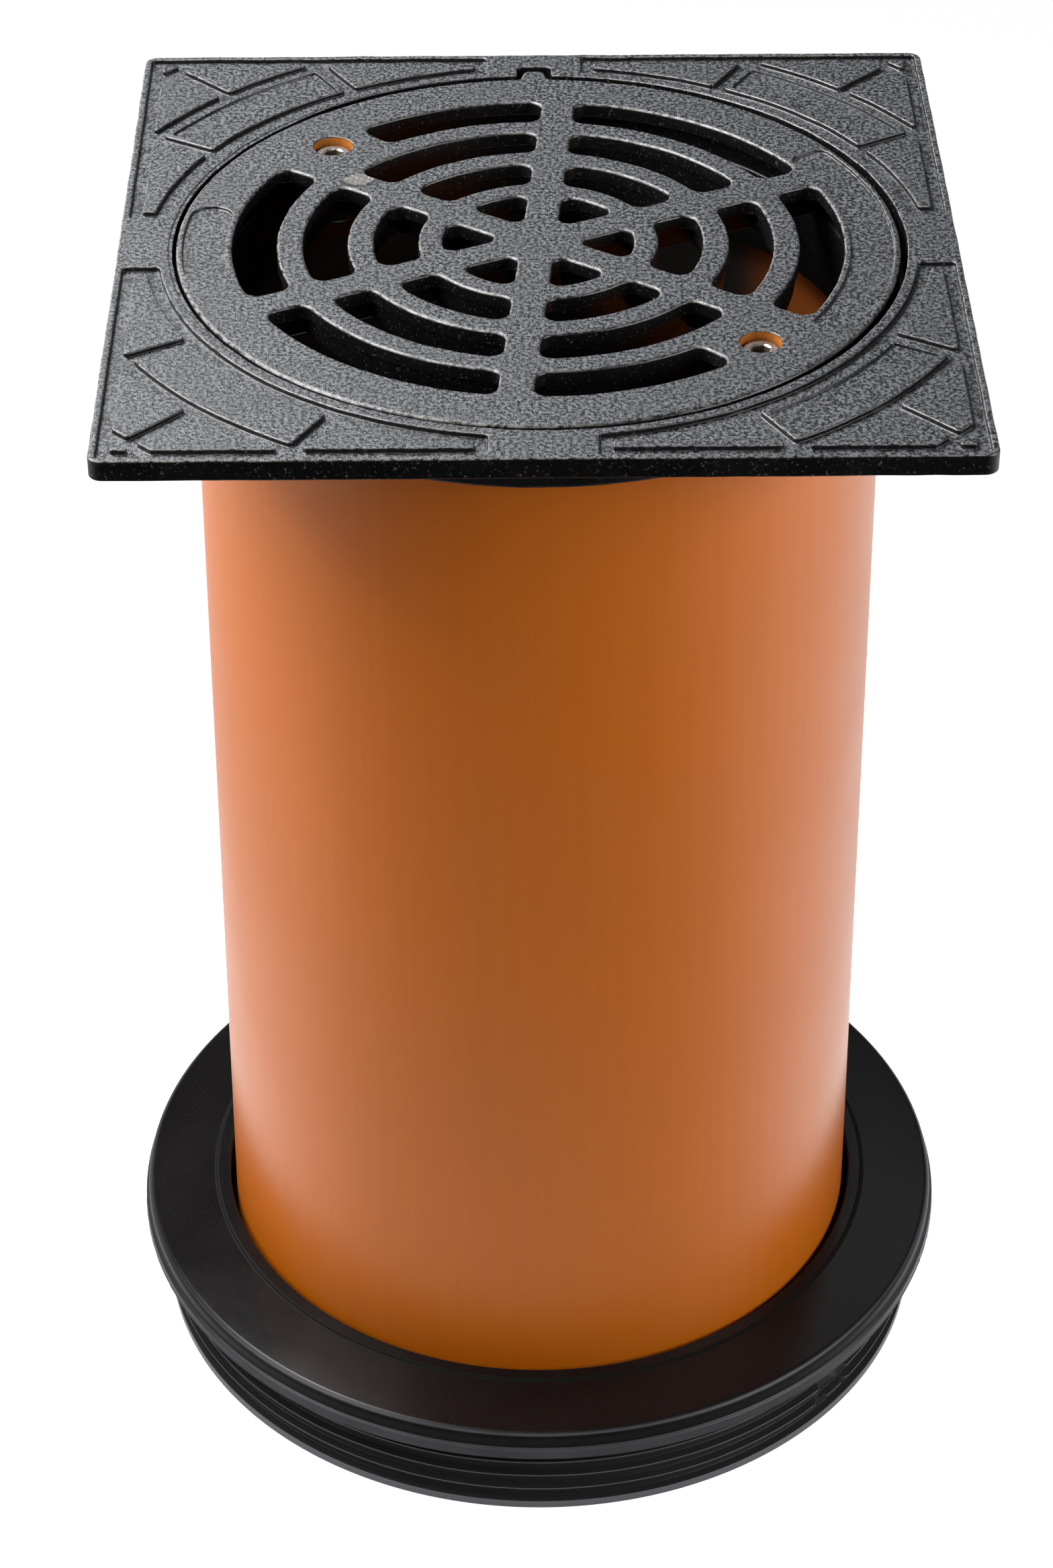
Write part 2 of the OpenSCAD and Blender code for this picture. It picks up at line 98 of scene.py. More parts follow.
# Frame: the pot, the spigot in the pipe, the corner webs and the lugs
POT_WALL = 7.0
POT_DRAFT = 2.0
SPIGOT_WALL = 6.0
SPIGOT_LEN = 33.0
SPIGOT_GAP = 0.3
SPIGOT_CHAMFER = 2.0
WEB_T = 8.0
WEB_H = 14.0
WEB_SETBACK = 34.0
WEB_NOSE = 2.0
WEB_TIP_H = 0.6
WEB_ARRIS = 1.0
LUG_R = 13.0
LUG_H = 17.0
LUG_DRAFT = 0.8

# Frame: the notch for the grate's tab, and a thin burr on the recess's edge
NOTCH_HALF = 8.3
NOTCH_END = 176.5
NOTCH_R = 3.0
NOTCH_ROOT_R = 1.5
NOTCH_DEPTH = 8.6
BURR_W = 1.5
BURR_ROOT = 0.4
BURR_DEPTH = 2.5
BURR_SINK = 0.6
BURR_ARRIS = 0.3
BURR_START = 126.0
BURR_END = 286.0
BURR_RISE = 12.0
BURR_FALL = 30.0
BURR_LEAST = 0.1
BURR_RAGGED = 0.15

# Grate
GRATE_R = 164.0
GRATE_T = 7.0
GRATE_UNDER = TOP - GRATE_T
GRATE_RIM_W = 19.0
GRATE_RIM_DRAFT = 0.5
GRATE_EDGE_R = 2.0
GRATE_LOWER_ARRIS = 0.8
SPOKE_ANGLE = 25.2
SPOKE_W = 15.8
SLOT_W = 20.0
BAR_W = 12.0
OUTER_SLOT_R = 118.5
SLOT_CORNER_R = 6.0
SLOT_ARRIS = 1.5
HUB_HOLE_R = 43.3
HUB_CORNER_R = 4.7
HUB_BOSS_R = 17.0
HUB_BOSS_ARRIS = 1.0
RIB_W = 7.0
RIB_STEP = 0.8
RIB_DRAFT = 1.2
RIB_EDGE_R = 1.2
RIB_START = 4.0
TAB_HALF = 6.7
TAB_TIP_HALF = 4.9
TAB_TIP_R = 3.4
TAB_ROOT_R = 2.0
TAB_END = 172.5

# Sunk panels of the grate and of the frame's curved pads
PANEL_DEPTH = 1.5
PANEL_ARRIS = 0.6
PANEL_FOOT = 0.5
PANEL_R_IN = 141.5
PANEL_W = 19.5
LONG_PANEL = 33.5
SHORT_PANEL = 13.0
LONG_PANEL_R = 6.0

# Smooth spot that the pattern left on a spoke, and a chip in the coating
SPOT_AT = (80.5, 238)
SPOT_HALF_LEN = 10.5
SPOT_HALF_W = 5.0
SPOT_CORNER_R = 4.9
SPOT_TURN = -32
SPOT_RISE = 0.25
SPOT_ARRIS = 0.5
CHIP_AT = (-82.5, 60.0)

# Unevenness of the castings: how far, and over what length
GRATE_UNEVEN = (0.16, 11)
FRAME_UNEVEN = (0.22, 13)

# Screws and their holes
SCREW_R = 134.0
SCREW_ANGLES = (135.5, 315.5)
SCREW_D = 10.0
SCREW_GAP = 0.1
HEAD_D = 16.0
HEAD_H = 10.0
HEAD_SINK = 3.8
HEAD_TOP = TOP - HEAD_SINK
HEAD_SEAT = HEAD_TOP - HEAD_H
HEAD_ARRIS = 0.9
HEAD_CHAMFER = 0.4
KNURL_DEPTH = 0.12
KNURL_TOP = 1.5
KNURL_FOOT = 0.6
HEX_AF = 8.0
HEX_DEPTH = 5.0
HEX_TURN = 12
HEX_MOUTH = 0.25
HEX_MOUTH_DEPTH = 0.5
HEX_TIP = 0.3
HEX_TIP_DEPTH = 0.8
SHANK_LEN = 18.0
THREAD_FROM = 3.0
THREAD_PITCH = 1.5
THREAD_DEPTH = 0.55
THREAD_END = 2.0
SHANK_CHAMFER = 0.8
BORE_R = 9.3
BORE_ARRIS = 0.7
SHANK_HOLE_R = 5.5
SCREW_LAND = 20.7

# Rubber ring
LIP_R = 194.0
WALL_R = 190.0
WALL_IN = 184.0
FLANGE_R = 205.0
FLANGE_Z = 44.0
FLANGE_BORE = 160.5
LIP_BORE = 157.8
SKIRT_R = 164.5
SKIRT_Z = 14.0
INNER_LIP_SETBACK = 3.0
INNER_LIP_EDGE = 1.5
CROWN_Z = 60.0
CROWN_SAG = 0.75
COLLAR_R = 167.5
COLLAR_STEP = 0.6
SHOULDER_Z = 53.5
SHOULDER_R = 4.0
SHOULDER_TURN = 80
RIM_BAND_H = 5.0
RIM_BAND_TOP = FLANGE_Z + RIM_BAND_H
RIM_GROOVE = 2.0
FOOT_BAND_H = 4.3
LIP_COUNT = 3
LIP_PITCH = 8.8
LIP_EDGE = 0.7
LIP_RISE = 0.6
LIP_FALL = 2.0
# Where each upper lip is torn: (lip, angle, half length), how deep the tears leave
# the lip on the wall, and how long their ends are
TEARS = ((3, -41.2, 2.0), (2, -41.3, 9.5), (1, -43.9, 2.0), (1, -38.6, 1.2))
TEAR_STUB = 0.35
TEAR_END = 1.2
# Unevenness of the moulding: its lips, the ragged edge under the flange and its rim
LIP_WAVE = 0.3
COARSE_JAG = 0.5
FINE_JAG = 0.35
RIM_WAVE = 0.25

# Number of sides of the round surfaces
CASTING_SIDES = 200
BAR_SIDES = 160
PIPE_SIDES = 240
RING_SIDES = 540
SCREW_SIDES = 48

# Outlines


def polar(r, a):
    return (r * math.cos(math.radians(a)), r * math.sin(math.radians(a)))


def beside_ray(r, a, off):
    """Point at distance r from the centre, a distance off to the left of the ray at angle a."""
    along = math.sqrt(r * r - off * off)
    c, s = math.cos(math.radians(a)), math.sin(math.radians(a))
    return (along * c - off * s, along * s + off * c)


def between(p, q, share):
    return (p[0] + (q[0] - p[0]) * share, p[1] + (q[1] - p[1]) * share)


def circle(centre, r, step):
    return arc(centre, r, 0, 360, step)[:-1]


def angle_of(p):
    return math.degrees(math.atan2(p[1], p[0]))


def arc(centre, r, a1, a2, step=3.5):
    """Points of an arc from angle a1 to a2, both ends included."""
    count = max(3, int(abs(math.radians(a2 - a1)) * r / step) + 1)
    out = []
    for i in range(count + 1):
        x, y = polar(r, a1 + (a2 - a1) * i / count)
        out.append((centre[0] + x, centre[1] + y))
    return out


def rounded(points):
    """Rounds the corners given as (x, y, radius); plain (x, y) points stay."""
    out = []
    n = len(points)
    for i, p in enumerate(points):
        if len(p) == 2:
            out.append(p)
            continue
        q, s = points[i - 1], points[(i + 1) % n]
        v1 = Vector((p[0] - q[0], p[1] - q[1]))
        v2 = Vector((s[0] - p[0], s[1] - p[1]))
        turn = math.atan2(v1.x * v2.y - v1.y * v2.x, v1.dot(v2))
        share1, share2 = (0.49 if len(beside) == 3 else 0.95 for beside in (q, s))
        room = min(v1.length * share1, v2.length * share2)
        reach = min(p[2] * math.tan(abs(turn) / 2), room)
        if reach < 1e-4:
            out.append(p[:2])
            continue
        r = reach / math.tan(abs(turn) / 2)
        side = 1 if turn > 0 else -1
        d1 = v1.normalized()
        start = Vector(p[:2]) - d1 * reach
        centre = start + Vector((-d1.y, d1.x)) * r * side
        a1 = angle_of(start - centre)
        steps = max(3, int(abs(math.degrees(turn)) / 15))
        for k in range(steps + 1):
            x, y = polar(r, a1 + math.degrees(turn) * k / steps)
            out.append((centre.x + x, centre.y + y))
    return out


def dense(points, step=4.0):
    """Adds points on long straight stretches."""
    out = []
    for p, q in zip(points, points[1:] + points[:1]):
        gap = math.hypot(q[0] - p[0], q[1] - p[1])
        count = max(1, int(gap / step))
        out += [between(p, q, k / count) for k in range(count)]
    return out


def area(points):
    return sum(p[0] * q[1] - q[0] * p[1] for p, q in zip(points, points[1:] + points[:1])) / 2


def solid(points):
    """Outline with its material inside, so to the left of the walk."""
    return points if area(points) > 0 else points[::-1]


def hole(points):
    """Outline of a hole, with the material outside."""
    return points if area(points) < 0 else points[::-1]


def offset(points, d):
    """Moves an outline by d, away from its material."""
    out = []
    n = len(points)
    for i, p in enumerate(points):
        q, s = points[i - 1], points[(i + 1) % n]
        n1 = Vector((p[1] - q[1], q[0] - p[0])).normalized()
        n2 = Vector((s[1] - p[1], p[0] - s[0])).normalized()
        m = n1 + n2
        m = m / max(m.length_squared / 2, 0.25)
        out.append((p[0] + m.x * d, p[1] + m.y * d))
    return out


def turned(points, a):
    c, s = math.cos(math.radians(a)), math.sin(math.radians(a))
    return [(p[0] * c - p[1] * s, p[0] * s + p[1] * c) + tuple(p[2:]) for p in points]


def curved_slot(r_in, r_out, a1, off1, a2, off2, corner_r):
    """Curved slot between two rays, each moved inwards, with rounded corners."""
    near1 = beside_ray(r_in + corner_r, a1, off1 + corner_r)
    far1 = beside_ray(r_out - corner_r, a1, off1 + corner_r)
    far2 = beside_ray(r_out - corner_r, a2, -off2 - corner_r)
    near2 = beside_ray(r_in + corner_r, a2, -off2 - corner_r)

    def phase(p, a):
        return a + (angle_of(p) - a + 180) % 360 - 180

    b1, b2, b3, b4 = phase(near1, a1), phase(far1, a1), phase(far2, a2), phase(near2, a2)
    step = max(0.8, corner_r / 4)
    points = arc(near1, corner_r, b1 + 180, a1 + 270, step)
    points += arc(far1, corner_r, a1 - 90, b2, step)
    points += arc((0, 0), r_out, b2, b3)[1:-1]
    points += arc(far2, corner_r, b3, a2 + 90, step)
    points += arc(near2, corner_r, a2 + 90, b4 + 180, step)
    points += arc((0, 0), r_in, b4, b1)[1:-1]
    return points


def hub_opening(middle):
    """Rounded three-sided opening between two spokes, next to the hub."""
    half_turn = 30.0
    edge_off = SPOKE_W / 2 + HUB_CORNER_R
    tip = (edge_off / math.sin(math.radians(half_turn)), 0)
    corner = beside_ray(HUB_HOLE_R - HUB_CORNER_R, -half_turn, edge_off)
    swing = -angle_of(corner)
    points = arc(tip, HUB_CORNER_R, 90 + half_turn, 270 - half_turn, 0.9)
    points += arc(corner, HUB_CORNER_R, -90 - half_turn, -swing, 0.9)
    points += arc((0, 0), HUB_HOLE_R, -swing, swing, 1.5)[1:-1]
    points += arc((corner[0], -corner[1]), HUB_CORNER_R, swing, 90 + half_turn, 0.9)
    return turned(points, middle)


def slot_r(ring):
    return OUTER_SLOT_R - ring * (SLOT_W + BAR_W)


def grate_openings():
    out = []
    for i in range(6):
        a1 = SPOKE_ANGLE + i * 60
        a2 = a1 + 60
        for ring in (1, 2):
            r = slot_r(ring)
            out.append(curved_slot(r, r + SLOT_W, a1, SPOKE_W / 2, a2, SPOKE_W / 2, SLOT_CORNER_R))
        near = [s for s in SCREW_ANGLES if a1 < s < a2]
        end, land = (near[0], SCREW_LAND) if near else (a2, SPOKE_W / 2)
        r = slot_r(0)
        out.append(curved_slot(r, r + SLOT_W, a1, SPOKE_W / 2, end, land, SLOT_CORNER_R))
        out.append(hub_opening((a1 + a2) / 2))
    return [hole(p) for p in out]


def grate_panels():
    r_out = PANEL_R_IN + PANEL_W
    short_r = PANEL_W / 2 - OVERLAP
    long_one = curved_slot(PANEL_R_IN, r_out, -LONG_PANEL, 0, LONG_PANEL, 0, LONG_PANEL_R)
    short_one = curved_slot(PANEL_R_IN, r_out, 180 - SHORT_PANEL, 0, 180 + SHORT_PANEL, 0, short_r)
    return [hole(long_one), hole(short_one)]


def cornered(points, r):
    """An arc whose two ends are corners with the radius r."""
    return [points[0] + (r,)] + points[1:-1] + [points[-1] + (r,)]


def tabbed_circle(r, root_half, root_r, tip_half, tip_r, end):
    """Circle with a rounded tab at its rear."""
    root = math.degrees(math.asin(root_half / r))
    points = cornered(arc((0, 0), r, 90 + root, 450 - root, 3.0), root_r)
    return rounded(points + [(tip_half, end, tip_r), (-tip_half, end, tip_r)])


def grate_outline():
    return tabbed_circle(GRATE_R, TAB_HALF, TAB_ROOT_R, TAB_TIP_HALF, TAB_TIP_R, TAB_END)


def recess_outline():
    return hole(tabbed_circle(RECESS_R, NOTCH_HALF, NOTCH_ROOT_R, NOTCH_HALF, NOTCH_R, NOTCH_END))


def plate_outline():
    h = PLATE_HALF
    r = PLATE_CORNER_R
    return dense(rounded([(h, h, r), (-h, h, r), (-h, -h, r), (h, -h, r)]), 3.0)


def corner_field():
    """Sunk field in the corner between the bridges on +X and +Y, with its raised land outside."""
    r = PAD_CORNER_R
    start = angle_of(beside_ray(RING_R, 0, BRIDGE_HALF))
    points = cornered(arc((0, 0), RING_R, start, 90 - start, 4.0), r)
    points += [(BRIDGE_HALF, RIM_IN, r), (RIM_IN, RIM_IN, r), (RIM_IN, BRIDGE_HALF, r)]
    return hole(dense(rounded(points), 6.0))


def corner_pads():
    """Raised pads in that corner; the curved one comes first."""
    r = PAD_CORNER_R
    half = GROOVE_W / 2
    low, high = 45 - ARC_PAD_ANGLE, 45 + ARC_PAD_ANGLE
    curved = curved_slot(RING_GROOVE_OUT, ARC_GROOVE_IN, low, half, high, half, r)
    # Side pad between the bridge and the radial groove
    c, s = math.cos(math.radians(low)), math.sin(math.radians(low))
    along = (PAD_HALF - half * s) / c
    a1 = angle_of(beside_ray(RING_GROOVE_OUT, 0, SIDE_EDGE))
    a2 = angle_of(beside_ray(RING_GROOVE_OUT, low, -half))
    side = cornered(arc((0, 0), RING_GROOVE_OUT, a1, a2, 4.0), r)
    side += [(PAD_HALF, along * s - half * c, r), (PAD_HALF, SIDE_EDGE, 0.8)]
    # Pad beyond the curved one, up to the groove along the diagonal
    cross = PAD_HALF * math.sqrt(2) - CORNER_PAD_LEG / math.sqrt(2) - GROOVE_W
    b1 = math.degrees(math.acos(PAD_HALF / ARC_GROOVE_OUT))
    b2 = angle_of(beside_ray(ARC_GROOVE_OUT, 45, -half))
    outer = cornered(arc((0, 0), ARC_GROOVE_OUT, b1, b2, 4.0), r)
    outer += [((cross + half) / math.sqrt(2), (cross - half) / math.sqrt(2), r),
              (PAD_HALF, math.sqrt(2) * cross - PAD_HALF, r)]
    tip = PAD_HALF - CORNER_PAD_LEG
    ends = ((PAD_HALF, PAD_HALF), (tip, PAD_HALF), (PAD_HALF, tip))
    corner = [(x, y, CORNER_PAD_R) for x, y in ends]

    def mirrored(points):
        return [(p[1], p[0]) + tuple(p[2:]) for p in points]

    rest = [side, mirrored(side), outer, mirrored(outer), corner]
    return [solid(curved)] + [solid(dense(rounded(p), 6.0)) for p in rest]


# Meshes. A profile's or an outline's point may carry the radius of its corner as a third number.


def quarter(steps):
    """Sines and cosines of a quarter turn, in steps."""
    turns = [math.radians(90 * k / steps) for k in range(steps + 1)]
    return [(math.sin(t), math.cos(t)) for t in turns]


def arris(r, z, steps=4):
    """Profile of a rounded upper edge: (distance beyond the outline, height)."""
    return [(-r + r * s, z - r + r * c) for s, c in quarter(steps)]


def foot(r, z, steps=3):
    """Profile of a rounded foot on a floor at height z."""
    return [(r - r * c, z + r - r * s) for s, c in quarter(steps)]


def lower_arris(r, z, steps=3):
    return [(d, 2 * z - h) for d, h in reversed(arris(r, z, steps))]


class Shell:
    """A mesh made of closed surfaces. place, if given, maps its points into the part's frame."""

    def __init__(self, place=None):
        self.bm = bmesh.new()
        self.place = place

    def ring(self, points, z):
        out = []
        for x, y in points:
            p = (x, y, z) if self.place is None else self.place(x, y, z)
            out.append(self.bm.verts.new(Vector(p) * MM))
        return out

    def band(self, low, high):
        for i in range(len(low)):
            j = (i + 1) % len(low)
            self.bm.faces.new((low[i], low[j], high[j], high[i]))

    def bands(self, rings):
        for a, b in zip(rings, rings[1:]):
            self.band(a, b)

    def loft(self, points, profile):
        """Bands between copies of one outline, moved by the profile. Gives the first and last ring."""
        rings = [self.ring(offset(points, d), z) for d, z in profile]
        self.bands(rings)
        return rings[0], rings[-1]

    def cap(self, *rings):
        """Flat face inside the first ring, with the other rings as its holes."""
        edges = []
        for r in rings:
            for i in range(len(r)):
                a, b = r[i - 1], r[i]
                edges.append(self.bm.edges.get((a, b)) or self.bm.edges.new((a, b)))
        bmesh.ops.triangle_fill(self.bm, use_beauty=True, use_dissolve=False, edges=edges, normal=(0, 0, 1))

    def block(self, points, low, high):
        """Closed solid over an outline, between two profiles."""
        a, b = self.loft(points, low + high)
        self.cap(a)
        self.cap(b)

    def revolve(self, shape, count, centre=(0, 0)):
        """Closed profile of (radius, height) turned about an upright axis; shape gives it at an angle."""
        columns = []
        for i in range(count):
            a = 360 * i / count
            c, s = math.cos(math.radians(a)), math.sin(math.radians(a))
            columns.append([self.bm.verts.new(Vector((centre[0] + r * c, centre[1] + r * s, z)) * MM)
                            for r, z in shape(a)])
        for i in range(count):
            a, b = columns[i], columns[(i + 1) % count]
            for k in range(len(a)):
                m = (k + 1) % len(a)
                self.bm.faces.new((a[k], b[k], b[m], a[m]))

    def turn(self, points, count, centre=(0, 0)):
        """Solid of revolution with the same profile all round, its corners rounded."""
        profile = rounded(points)
        self.revolve(lambda a: profile, count, centre)

    def finish(self, name, uneven=None, smooth=35):
        bm = self.bm
        bmesh.ops.recalc_face_normals(bm, faces=bm.faces)
        if uneven:
            reach, length = uneven
            for v in bm.verts:
                v.co += noise.noise_vector(v.co / (length * MM)) * reach * MM
        mesh = bpy.data.meshes.new(name)
        bm.to_mesh(mesh)
        bm.free()
        mesh.shade_smooth()
        mesh.set_sharp_from_angle(angle=math.radians(smooth))
        obj = bpy.data.objects.new(name, mesh)
        bpy.context.scene.collection.objects.link(obj)
        weight = obj.modifiers.new("weighted_normals", "WEIGHTED_NORMAL")
        weight.keep_sharp = True
        weight.weight = 80
        return obj


def merged(name, shells, **options):
    """One object made of several shells."""
    first = shells[0]
    for s in shells[1:]:
        temp = bpy.data.meshes.new("temp")
        s.bm.to_mesh(temp)
        s.bm.free()
        first.bm.from_mesh(temp)
        bpy.data.meshes.remove(temp)
    return first.finish(name, **options)


# Grate


def grate_plate():
    s = Shell()
    top_rings, low_rings = [], []

    def through(points, edge_r):
        a, b = s.loft(points, arris(edge_r, TOP, 5) + lower_arris(GRATE_LOWER_ARRIS, GRATE_UNDER, 2))
        top_rings.append(a)
        low_rings.append(b)

    through(solid(grate_outline()), GRATE_EDGE_R)
    for points in grate_openings():
        through(points, SLOT_ARRIS)
    for points in grate_panels():
        a, b = s.loft(points, arris(PANEL_ARRIS, TOP, 3) + foot(PANEL_FOOT, TOP - PANEL_DEPTH))
        top_rings.append(a)
        s.cap(b)
    for angle in SCREW_ANGLES:
        centre = polar(SCREW_R, angle)
        bore = hole(circle(centre, BORE_R, 1.2))
        shank_hole = hole(circle(centre, SHANK_HOLE_R, 1.2))
        boss = solid(circle(centre, LUG_R, 2.0))
        a, b = s.loft(bore, arris(BORE_ARRIS, TOP, 3) + foot(PANEL_FOOT, HEAD_SEAT, 2))
        c, d = s.loft(shank_hole, [(0, HEAD_SEAT), (0, SEAT_Z)])
        s.cap(b, c)
        e, f = s.loft(boss, [(0, GRATE_UNDER)] + lower_arris(GRATE_LOWER_ARRIS, SEAT_Z, 2))
        s.cap(f, d)
        top_rings.append(a)
        low_rings.append(e)
    s.cap(*top_rings)
    s.cap(*low_rings)
    return s


def round_ribs():
    """Ribs under the rim, the round bars and the hub, sunk a little into the plate."""
    s = Shell()
    root = GRATE_UNDER + OVERLAP
    rim_in = GRATE_R - GRATE_RIM_W
    s.turn([(GRATE_R, root), (rim_in, root), (rim_in + GRATE_RIM_DRAFT, SEAT_Z, 1),
            (GRATE_R, SEAT_Z, 1)], CASTING_SIDES)
    foot_in = RIB_STEP + RIB_DRAFT
    bars = [(slot_r(ring) - BAR_W, slot_r(ring)) for ring in (0, 1)] + [(HUB_HOLE_R, slot_r(2))]
    for r_in, r_out in bars:
        s.turn([(r_in + foot_in, SEAT_Z, RIB_EDGE_R), (r_out - foot_in, SEAT_Z, RIB_EDGE_R),
                (r_out - RIB_STEP, root), (r_in + RIB_STEP, root)], BAR_SIDES)
    s.block(solid(circle((0, 0), HUB_BOSS_R, 2.5)), [(0, root)], lower_arris(HUB_BOSS_ARRIS, SEAT_Z, 3))
    return s


def spoke_rib(a):
    c, d = math.cos(math.radians(a)), math.sin(math.radians(a))
    s = Shell(lambda x, y, z: (z * c - x * d, z * d + x * c, y))
    root = GRATE_UNDER + OVERLAP
    low, high = RIB_W / 2, RIB_W / 2 + RIB_DRAFT
    outline = rounded([(-low, SEAT_Z, RIB_EDGE_R), (low, SEAT_Z, RIB_EDGE_R), (high, root), (-high, root)])
    s.block(solid(outline), [(0, RIB_START)], [(0, GRATE_R - GRATE_RIM_W / 2)])
    return s


def smooth_spot():
    s = Shell()
    cx, cy = polar(*SPOT_AT)
    ends = ((-1, -1), (1, -1), (1, 1), (-1, 1))
    flat = rounded([(x * SPOT_HALF_LEN, y * SPOT_HALF_W, SPOT_CORNER_R) for x, y in ends])
    outline = [(cx + x, cy + y) for x, y in turned(flat, SPOT_TURN)]
    s.block(solid(outline), [(0, TOP - 1)], arris(SPOT_ARRIS, TOP + SPOT_RISE, 3)[::-1])
    return s


def make_grate():
    shells = [grate_plate(), round_ribs()]
    shells += [spoke_rib(SPOKE_ANGLE + i * 60) for i in range(6)]
    return merged("grate_casting", shells + [smooth_spot()], uneven=GRATE_UNEVEN)


# Frame


def curved_inset():
    """Sunk panel of a curved pad."""
    half = GROOVE_W / 2 + INSET_MARGIN
    return hole(curved_slot(RING_GROOVE_OUT + INSET_MARGIN, ARC_GROOVE_IN - INSET_MARGIN,
                            45 - ARC_PAD_ANGLE, half, 45 + ARC_PAD_ANGLE, half, INSET_MARGIN / 2))


def plate(under):
    s = Shell()
    edge = arris(PAD_ARRIS, TOP, 3) + foot(PAD_FOOT, TOP - GROOVE_DEPTH)
    sunk = arris(PANEL_ARRIS, TOP, 2) + foot(PANEL_FOOT, TOP - PANEL_DEPTH, 2)
    side = arris(PLATE_ARRIS, TOP, 4) + lower_arris(PLATE_LOWER_ARRIS, under, 3)
    outer_top, outer_low = s.loft(solid(plate_outline()), side)
    recess_top, recess_low = s.loft(recess_outline(), arris(RECESS_ARRIS, TOP, 3) + [(0, under)])
    land = [outer_top, recess_top]
    for k in range(4):
        field_top, field_floor = s.loft(turned(corner_field(), 90 * k), edge)
        land.append(field_top)
        floor_rings = [field_floor]
        for i, pad in enumerate(corner_pads()):
            top, low = s.loft(turned(pad, 90 * k), edge)
            floor_rings.append(low)
            # The curved pads have a sunk panel, except at the front left
            if i == 0 and k != 2:
                panel_top, panel_floor = s.loft(turned(curved_inset(), 90 * k), sunk)
                s.cap(top, panel_top)
                s.cap(panel_floor)
            else:
                s.cap(top)
        s.cap(*floor_rings)
    s.cap(*land)
    s.cap(outer_low, recess_low)
    return s


def notch_floor(under):
    s = Shell()
    side, end = NOTCH_HALF + WIDE_OVERLAP, NOTCH_END + WIDE_OVERLAP
    root = math.degrees(math.asin(side / RECESS_R))
    outline = arc((0, 0), RECESS_R, 90 - root, 90 + root, 4.0) + [(-side, end), (side, end)]
    s.block(solid(outline), [(0, under + OVERLAP)], [(0, TOP - NOTCH_DEPTH)])
    return s


def recess_burr():
    """Thin burr along the recess's edge, on the left and in front."""
    s = Shell()
    outline = arc((0, 0), RECESS_R + BURR_ROOT, BURR_START, BURR_END, 3.0)
    for point in arc((0, 0), RECESS_R, BURR_END, BURR_START, 3.0):
        a = angle_of(point) % 360
        rise = (a - BURR_START) / BURR_RISE + BURR_LEAST
        fall = (BURR_END - a) / BURR_FALL + BURR_LEAST
        reach = BURR_W * min(1, rise, fall)
        reach += BURR_RAGGED * noise.noise(Vector((a * 0.7, 2, 0)))
        outline.append(polar(RECESS_R - reach, a))
    s.block(solid(outline), [(0, TOP - BURR_DEPTH)], arris(BURR_ARRIS, TOP - BURR_SINK, 2)[::-1])
    return s


def pot(pot_r, under):
    """Pot with the seat, the spigot that fits in the pipe, and the lugs for the screws."""
    s = Shell()
    spigot_r = PIPE_BORE_R - SPIGOT_GAP
    spigot_in = spigot_r - SPIGOT_WALL
    foot_z = PIPE_TOP - SPIGOT_LEN
    joint_z = under + WIDE_OVERLAP
    s.turn([(RECESS_R, joint_z), (RECESS_R, SEAT_Z, 1), (spigot_in, SEAT_Z, 1.5), (spigot_in, foot_z, 1.5),
            (spigot_r - SPIGOT_CHAMFER, foot_z, 0.6), (spigot_r, foot_z + SPIGOT_CHAMFER, 0.6),
            (spigot_r, PIPE_TOP, 0.5), (pot_r, PIPE_TOP, 2), (pot_r + POT_DRAFT, joint_z)], CASTING_SIDES)
    hole_r = SCREW_D / 2 + SCREW_GAP
    top, low = SEAT_Z - SCREW_GAP, SEAT_Z - LUG_H
    for angle in SCREW_ANGLES:
        s.turn([(hole_r, top, 0.8), (hole_r, low, 0.8), (LUG_R - LUG_DRAFT, low, 1.5), (LUG_R, top, 1)],
               SCREW_SIDES, polar(SCREW_R, angle))
    return s


def corner_web(a, pot_r, under):
    c, d = math.cos(math.radians(a)), math.sin(math.radians(a))
    s = Shell(lambda x, y, z: (x * c - z * d, x * d + z * c, y))
    root = pot_r - POT_WALL / 2
    tip = PLATE_HALF * math.sqrt(2) - WEB_SETBACK
    joint_z = under + WIDE_OVERLAP
    outline = rounded([(root, joint_z), (tip, joint_z), (tip - WEB_NOSE, under - WEB_TIP_H, 2),
                       (root, under - WEB_H)])
    edge = arris(WEB_ARRIS, WEB_T / 2, 2)
    s.block(solid(outline), [(out, -h) for out, h in edge], edge[::-1])
    return s


def make_frame():
    under = TOP - PLATE_T
    pot_r = RECESS_R + POT_WALL
    shells = [plate(under), notch_floor(under), recess_burr(), pot(pot_r, under)]
    shells += [corner_web(45 + 90 * k, pot_r, under) for k in range(4)]
    return merged("frame_casting", shells, uneven=FRAME_UNEVEN)


# Pipe


def make_pipe():
    s = Shell()
    middle = PIPE_TOP * 0.5
    s.turn([(PIPE_BORE_R, 0, 0.6), (PIPE_R - PIPE_BEVEL, 0, 0.8), (PIPE_R, PIPE_BEVEL_LEN, 6),
            (PIPE_R, middle), (PIPE_R, PIPE_TOP, 0.4), (PIPE_BORE_R, PIPE_TOP, 0.4),
            (PIPE_BORE_R, middle)], PIPE_SIDES)
    return s.finish("telescopic_pipe", smooth=30)


# Rubber ring


def wobble(a, rate, seed):
    """Smooth unevenness round the ring, from -1 to 1."""
    return noise.noise(Vector((a * rate, seed, 0)))


def lip_reach(lip, a):
    """Radius of an upper lip at angle a, less where it is torn."""
    reach = LIP_R
    for torn, at, half in TEARS:
        if torn == lip:
            away = abs((a - at + 180) % 360 - 180) * math.radians(LIP_R)
            cut = min(1, max(0, (half + TEAR_END - away) / TEAR_END))
            cut = cut * cut * (3 - 2 * cut)
            reach -= cut * (LIP_R - WALL_R - TEAR_STUB)
    return reach


